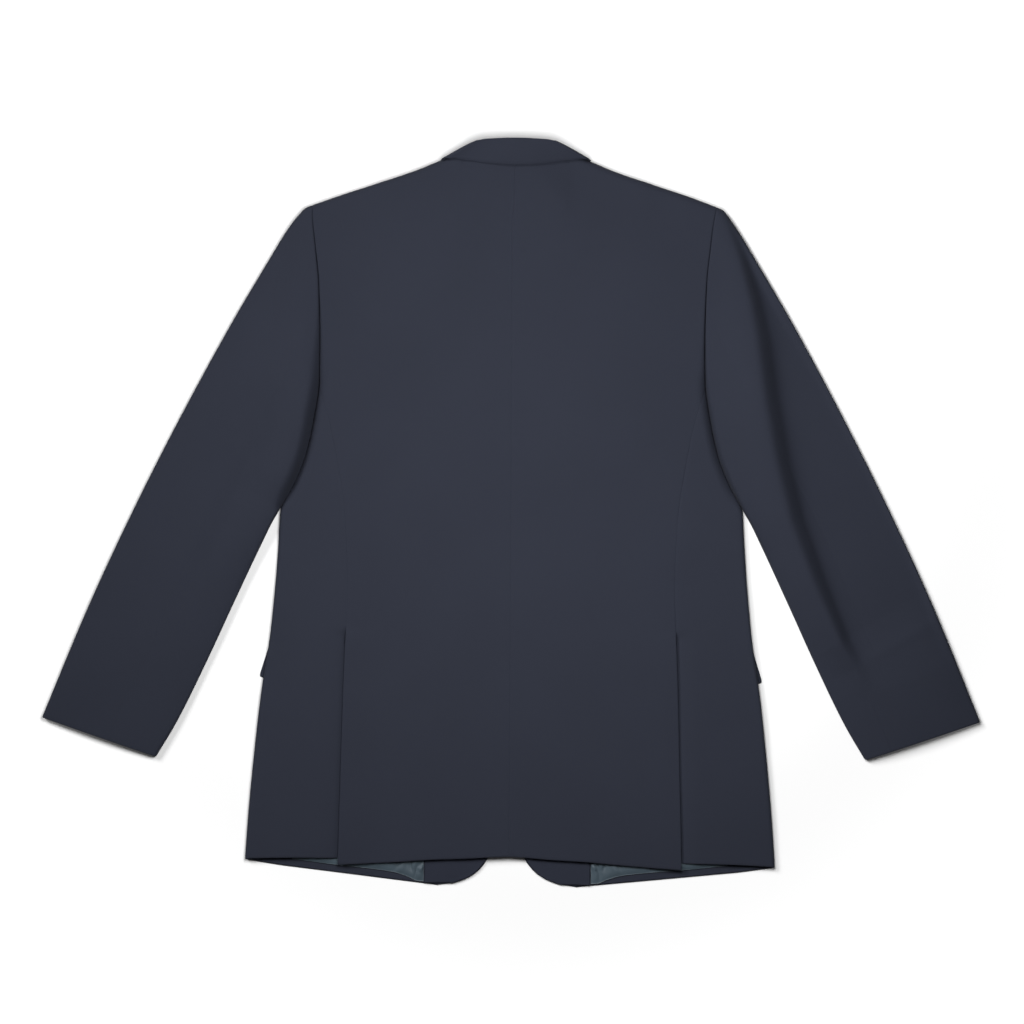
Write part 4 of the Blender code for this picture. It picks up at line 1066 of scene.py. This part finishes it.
for side, word in SIDES:
    down, across = spread(52, 2.2), spread(70, 2.4)
    y_edge = mix(FACING_LOW, FACING_TOP, down)
    x_edge = x_at(FRONT_EDGE, y_edge) + FACING_INSET
    y_in = mix(FACING_LOW - 0.4, FACING_TOP, down)
    x = mix(x_edge[:, None], FACING_IN, across[None, :])
    y = mix(y_edge[:, None], y_in[:, None], across[None, :])
    wave = 0.25 * np.sin(x / 9 + y / 21) * ease((FACING_IN - x) / 12)
    grid = points_at(x, y, front_lift(x, y, side) + LAYER + wave)
    edges = {"first_column": 0.7, "first_row": 0.7, "last_column": 0.4}
    grid = lay(sewn(grid, -1, edges), side, "front")
    cloth(
        f"facing_cloth_{word}", grid, FACING_WALL, -side, f"facing_{word}", facing_wool
    )

    across, down = spread(150, 1.5), spread(LINING_LONG, 1.5)[:, None]
    lining_in, lining_out = LINING_HEM["x"][0], LINING_HEM["x"][-1]
    x = mix(lining_in, lining_out, across)[None, :]
    y = mix(y_at(LINING_HEM, x), FACING_TOP, down)
    inside = ease(down * LINING_LONG / 6) * ease((x - lining_in) / 3)
    pleats = PLEAT_LIFT + sum(trough(x, y - 2.0 * side, fold, 0.7) for fold in LINING_FOLDS)
    slack = 0.36 * np.sin(x / 11.5 + y / 17.0 + side) + 0.24 * np.sin(x / 6.3 - y / 9.0)
    z = front_lift(x, y, side) + LAYER + np.maximum(pleats + slack, 0.0) * inside
    grid = sewn(points_at(x, y, z), -1, {"first_row": 0.4, "first_column": 0.3})
    cloth(
        f"lining_cloth_{word}", lay(grid, side, "front"), LINING_WALL, -side, f"lining_{word}",
        teal_lining,
    )

# %% [markdown]
# The lapels and the pocket flaps lie face down too. A lapel ends at the gorge, where it meets the
# collar, and leaves the small open notch beside it. A flap's rear corner peeps out at the side.

# %% lapels and flaps
NOTCH_PART, CORNER_ROUND = 0.48, 6.0
for side, word in SIDES:
    part, s = spread(330, 6.0)[:, None], spread(90, 5.0)[None, :]
    y_roll, y_edge = mix(BREAK_Y + 12, GORGE_ROLL[1], part), mix(BREAK_Y + 8, LAPEL_TIP[1], part)
    x = mix(roll_x(y_roll) + 0.4, x_at(LAPEL_EDGE, y_edge), s)
    at_notch = [0, NOTCH_PART, 1]
    gorge = np.interp(s, at_notch, [GORGE_ROLL[1], GORGE_NOTCH[1], LAPEL_TIP[1]])
    cut_off = gorge - GAP - mix(GORGE_ROLL[1], LAPEL_TIP[1], s)
    y = mix(y_roll, y_edge, s) + cut_off * ease((part - 0.7) / 0.3)
    z = over_left_front(x, y) if side == RIGHT else 0
    grid = sewn(points_at(x, y, z), -1, {"last_column": 0.8, "last_row": 0.8})
    cloth(f"lapel_cloth_{word}", lay(grid, side), WALL, -side, f"lapel_{word}", facing_wool)

    rear_low, front_low, front_high, rear_high = [np.array((*corner, 0.0)) for corner in FLAP]
    t, s = spread(54, 3.0)[:, None, None], spread(155, 5.0)[None, :, None]
    grid = mix(mix(front_low, rear_low, s), mix(front_high, rear_high, s), t)
    low, front, rear = (
        np.clip(1 - edge_distance(grid, edge) / CORNER_ROUND, 0, 1) ** 2
        for edge in ("first_row", "first_column", "last_column")
    )
    grid[:, :, 0] += 1.6 * (front - rear) * low
    grid[:, :, 1] += 1.4 * (front + rear) * low
    edges = {"first_row": 0.7, "first_column": 0.7, "last_column": 0.7}
    grid = lay(sewn(grid, -1, edges), side)
    cloth(f"flap_cloth_{word}", grid, FLAP_WALL, -side, f"flap_{word}", navy_wool)

# %% [markdown]
# The collar is one strip of cloth folded along its roll line. Its leaf lies on the back, and its
# stand goes from the fold down to the neckline. Both run round the sides of the neck to the
# front, where the leaf meets the lapel. Stations along the strip are smoothed into one curve.

# %% the collar


def through(points, count):
    """A smooth curve through rows of points, with rows spread evenly along it."""
    steps = np.linalg.norm(np.diff(points, axis=0), axis=2).mean(1)
    at = np.concatenate([[0], np.cumsum(steps)])
    fine = np.linspace(0, at[-1], count)
    made = np.zeros((count, *points.shape[1:]))
    for j in range(points.shape[1]):
        for axis in range(3):
            rows = {"at": at, "value": points[:, j, axis]}
            made[:, j, axis] = read(rows, "at", "value", fine)
    return made


LEAF_LINE = table(
    "part x y", (0, 45.5, 414.3), (0.13, 51.0, 412.4), (0.3, 58.6, 408.8), (1, 84.4, 394.9)
)
LEAF_CORNER = (80.0, 394.9)
LEAF_EDGE = table("x y", (0, 387.2), (20, 388.2), (46, 391.4), (66, 393.8), LEAF_CORNER)
NECK_RIM = table(
    "angle x y z",
    (-90, 65.0, 391.2, 2.3), (-60, 67.1, 396.6, 3.8), (-30, 67.2, 398.7, 6.6),
    (0, 67.2, 399.6, 10.3), (30, 63.4, 399.0, 13.8), (60, 58.8, 398.3, 17.2),
    (90, 54.0, 397.4, 20.6),
)


FOLD_MIDDLE, FOLD_END = np.array([(0, 415.9, 32.6), (44, 414.6, 31.4)])
INNER_MIDDLE, INNER_END = np.array([(0, 414.6, 29.4), (42.9, 412.0, 27.9)])
INNER_CORNER, NOTCH_ON_COLLAR = (44.8, 412.6), 0.65


def collar_stations():
    """The leaf from fold to edge and the stand from fold to neckline, at stations along them."""
    q, down = np.linspace(0, 1, 16), np.linspace(0, 1, 8)[:, None]
    arch = 4 * q * (1 - q)
    edge_high = back_height(*LEAF_CORNER) + LAYER + 0.1
    leaf, stand = [], []
    for t in (0, 0.2, 0.4, 0.6, 0.8):
        edge_x = LEAF_CORNER[0] * t
        edge_y = y_at(LEAF_EDGE, edge_x)
        fold = mix(FOLD_MIDDLE, FOLD_END, np.array([t, t**3, t]))
        edge_z = mix(back_height(edge_x, edge_y) + LAYER + 1.7, edge_high, t**4)
        row = mix(fold, np.array([edge_x, edge_y, edge_z]), q[:, None])
        row[:, 2] += mix(1.6, 0.6, t) * arch
        leaf.append(row)
        inner = mix(INNER_MIDDLE, INNER_END, np.array([t, t**2, t]))
        neck_x = NECK_SIDE_X * t
        neck_y = y_at(BACK_NECK, neck_x) + 0.5
        neck = np.array([neck_x, neck_y, back_height(neck_x, neck_y)])
        stand.append(mix(inner, neck, down))
    line = np.column_stack([read(LEAF_LINE, "part", axis, q) for axis in "xy"])
    away, sideways = np.array([0.475, 0.880]), np.array([0.99, 0.10])
    way = mix(sideways, away, arch[:, None] ** 0.5)
    wide, tall = mix(2.6, 3.2, q)[:, None], mix(15.7, edge_high / 2, q)
    for angle in (90, 60, 30, 0, -30, -60, -90):
        turn = math.radians(angle)
        place = line + way * wide * (math.cos(turn) - 1)
        leaf.append(np.column_stack([place, tall * (1 + math.sin(turn))]))
        place = INNER_CORNER + sideways * WALL * (math.cos(turn) - 1)
        neck = np.array([read(NECK_RIM, "angle", axis, angle) for axis in "xyz"])
        stand.append(mix(np.array([*place, LAYER + 12.8 * (1 + math.sin(turn))]), neck, down))
    corners = np.array([GORGE_ROLL, GORGE_NOTCH, COLLAR_CORNER])
    at = [0, NOTCH_ON_COLLAR, 1]
    ends = np.column_stack([np.interp(q, at, corners[:, axis]) for axis in (0, 1)])
    under = leaf[-1][:, :2]
    for t in (0.33, 0.67, 1.0):
        leaf.append(np.column_stack([mix(under, ends + (0, GAP), t), 0 * q]))
    for y, neck_x in ((366.0, 49.2), (352.0, 43.1), (340.0, 37.0)):
        inner = np.array([roll_x(y) - 0.4, y, LAYER])
        stand.append(mix(inner, np.array([neck_x, y, LAYER]), down))
    return np.array(leaf), np.array(stand)


leaf, stand = (through(rows, 74) for rows in collar_stations())
stand_inner = stand + outward(stand, -1) * WALL
fold_way = leaf[:, 0] - leaf[:, 2]
fold_way /= np.linalg.norm(fold_way, axis=1, keepdims=True)
t = np.linspace(0, 1, 9)[1:-1, None, None]
bulge = (leaf[:, 0] + stand_inner[:, 0]) / 2 + fold_way * 3.0
roll = (1 - t) ** 2 * leaf[:, 0] + 2 * t * (1 - t) * bulge + t**2 * stand_inner[:, 0]
half = np.concatenate([leaf[:, ::-1], roll.transpose(1, 0, 2), stand_inner], axis=1)
half[:, :, 2] = np.maximum(half[:, :, 2], 0)
mirror = half[:0:-1].copy()
mirror[:, :, 0] *= -1
grid = np.concatenate([mirror, half])
grid = sewn(grid, -1, {"first_column": 0.6, "first_row": 0.9, "last_row": 0.9})
grid[:, :, 0] += COLLAR_SHIFT * ease((grid[:, :, 1] - COLLAR_FROM) / COLLAR_REACH)
grid[:, :, 2] = np.maximum(grid[:, :, 2], 0)
cloth(
    "folded_collar", grid, WALL, -1, ["collar", "collar_stand"], navy_wool,
)

# %% [markdown]
# The two front buttons are turned from horn: a round disc with a raised rim, a shallow dish and
# four holes, sewn on with a cross of thread. They face the table, so they are modelled face down.

# %% buttons
thread = wool("navy_thread", (0.016, 0.019, 0.030), (0.030, 0.035, 0.050), rib=0.0004)
RIM_WIDE, RIM_STEP, DISH_STEP = 1.6, (0.5, -0.45), (1.2, -0.1)


def cylinder(sides, radius, depth, x, y, z, lean=(0, 0, 0)):
    """A cylinder measured in millimetres."""
    place = (x * MM, (y - CENTRE_Y) * MM, z * MM)
    bpy.ops.mesh.primitive_cylinder_add(
        vertices=sides, radius=radius * MM, depth=depth * MM, location=place, rotation=lean
    )
    bpy.ops.object.transform_apply(location=True, rotation=True)
    return bpy.context.object


for name, y in BUTTONS.items():
    piece = cylinder(64, BUTTON_RADIUS, BUTTON_THICK, 0, y, BUTTON_THICK / 2)
    piece.name = name + "_horn"
    bpy.ops.object.mode_set(mode="EDIT")
    bpy.ops.mesh.select_all(action="DESELECT")
    bm = bmesh.from_edit_mesh(piece.data)
    for part in bm.faces:
        part.select = part.normal.z < -0.9
    bmesh.update_edit_mesh(piece.data)
    bpy.ops.mesh.inset(thickness=RIM_WIDE * MM)
    for wide, deep in (RIM_STEP, DISH_STEP):
        bpy.ops.mesh.inset(thickness=wide * MM, depth=deep * MM)
    bpy.ops.object.mode_set(mode="OBJECT")
    for dx, dy in ((1, 1), (-1, 1), (-1, -1), (1, -1)):
        place = (dx * HOLE_PLACE, y + dy * HOLE_PLACE, BUTTON_THICK / 2)
        cutter = cylinder(20, HOLE_RADIUS, 8, *place)
        apply_modifier(piece, "BOOLEAN", object=cutter, operation="DIFFERENCE", solver="EXACT")
        bpy.data.objects.remove(cutter)
    apply_modifier(piece, "BEVEL", width=0.28 * MM, segments=3, limit_method="ANGLE")
    smooth(piece, BUTTON_SMOOTH)
    piece.data.materials.append(dark_horn)
    stitches = [
        cylinder(12, THREAD_RADIUS, 4.8, 0, y, 0.45, (math.pi / 2, 0, math.radians(turn)))
        for turn in (45, 135)
    ]
    for stitch in stitches:
        smooth(stitch, BUTTON_SMOOTH)
        stitch.data.materials.append(thread)
    select_only(*stitches, piece)
    bpy.ops.object.join()
    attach(piece, "root")
    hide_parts(name)
    print(piece.name, len(piece.data.polygons), "faces")
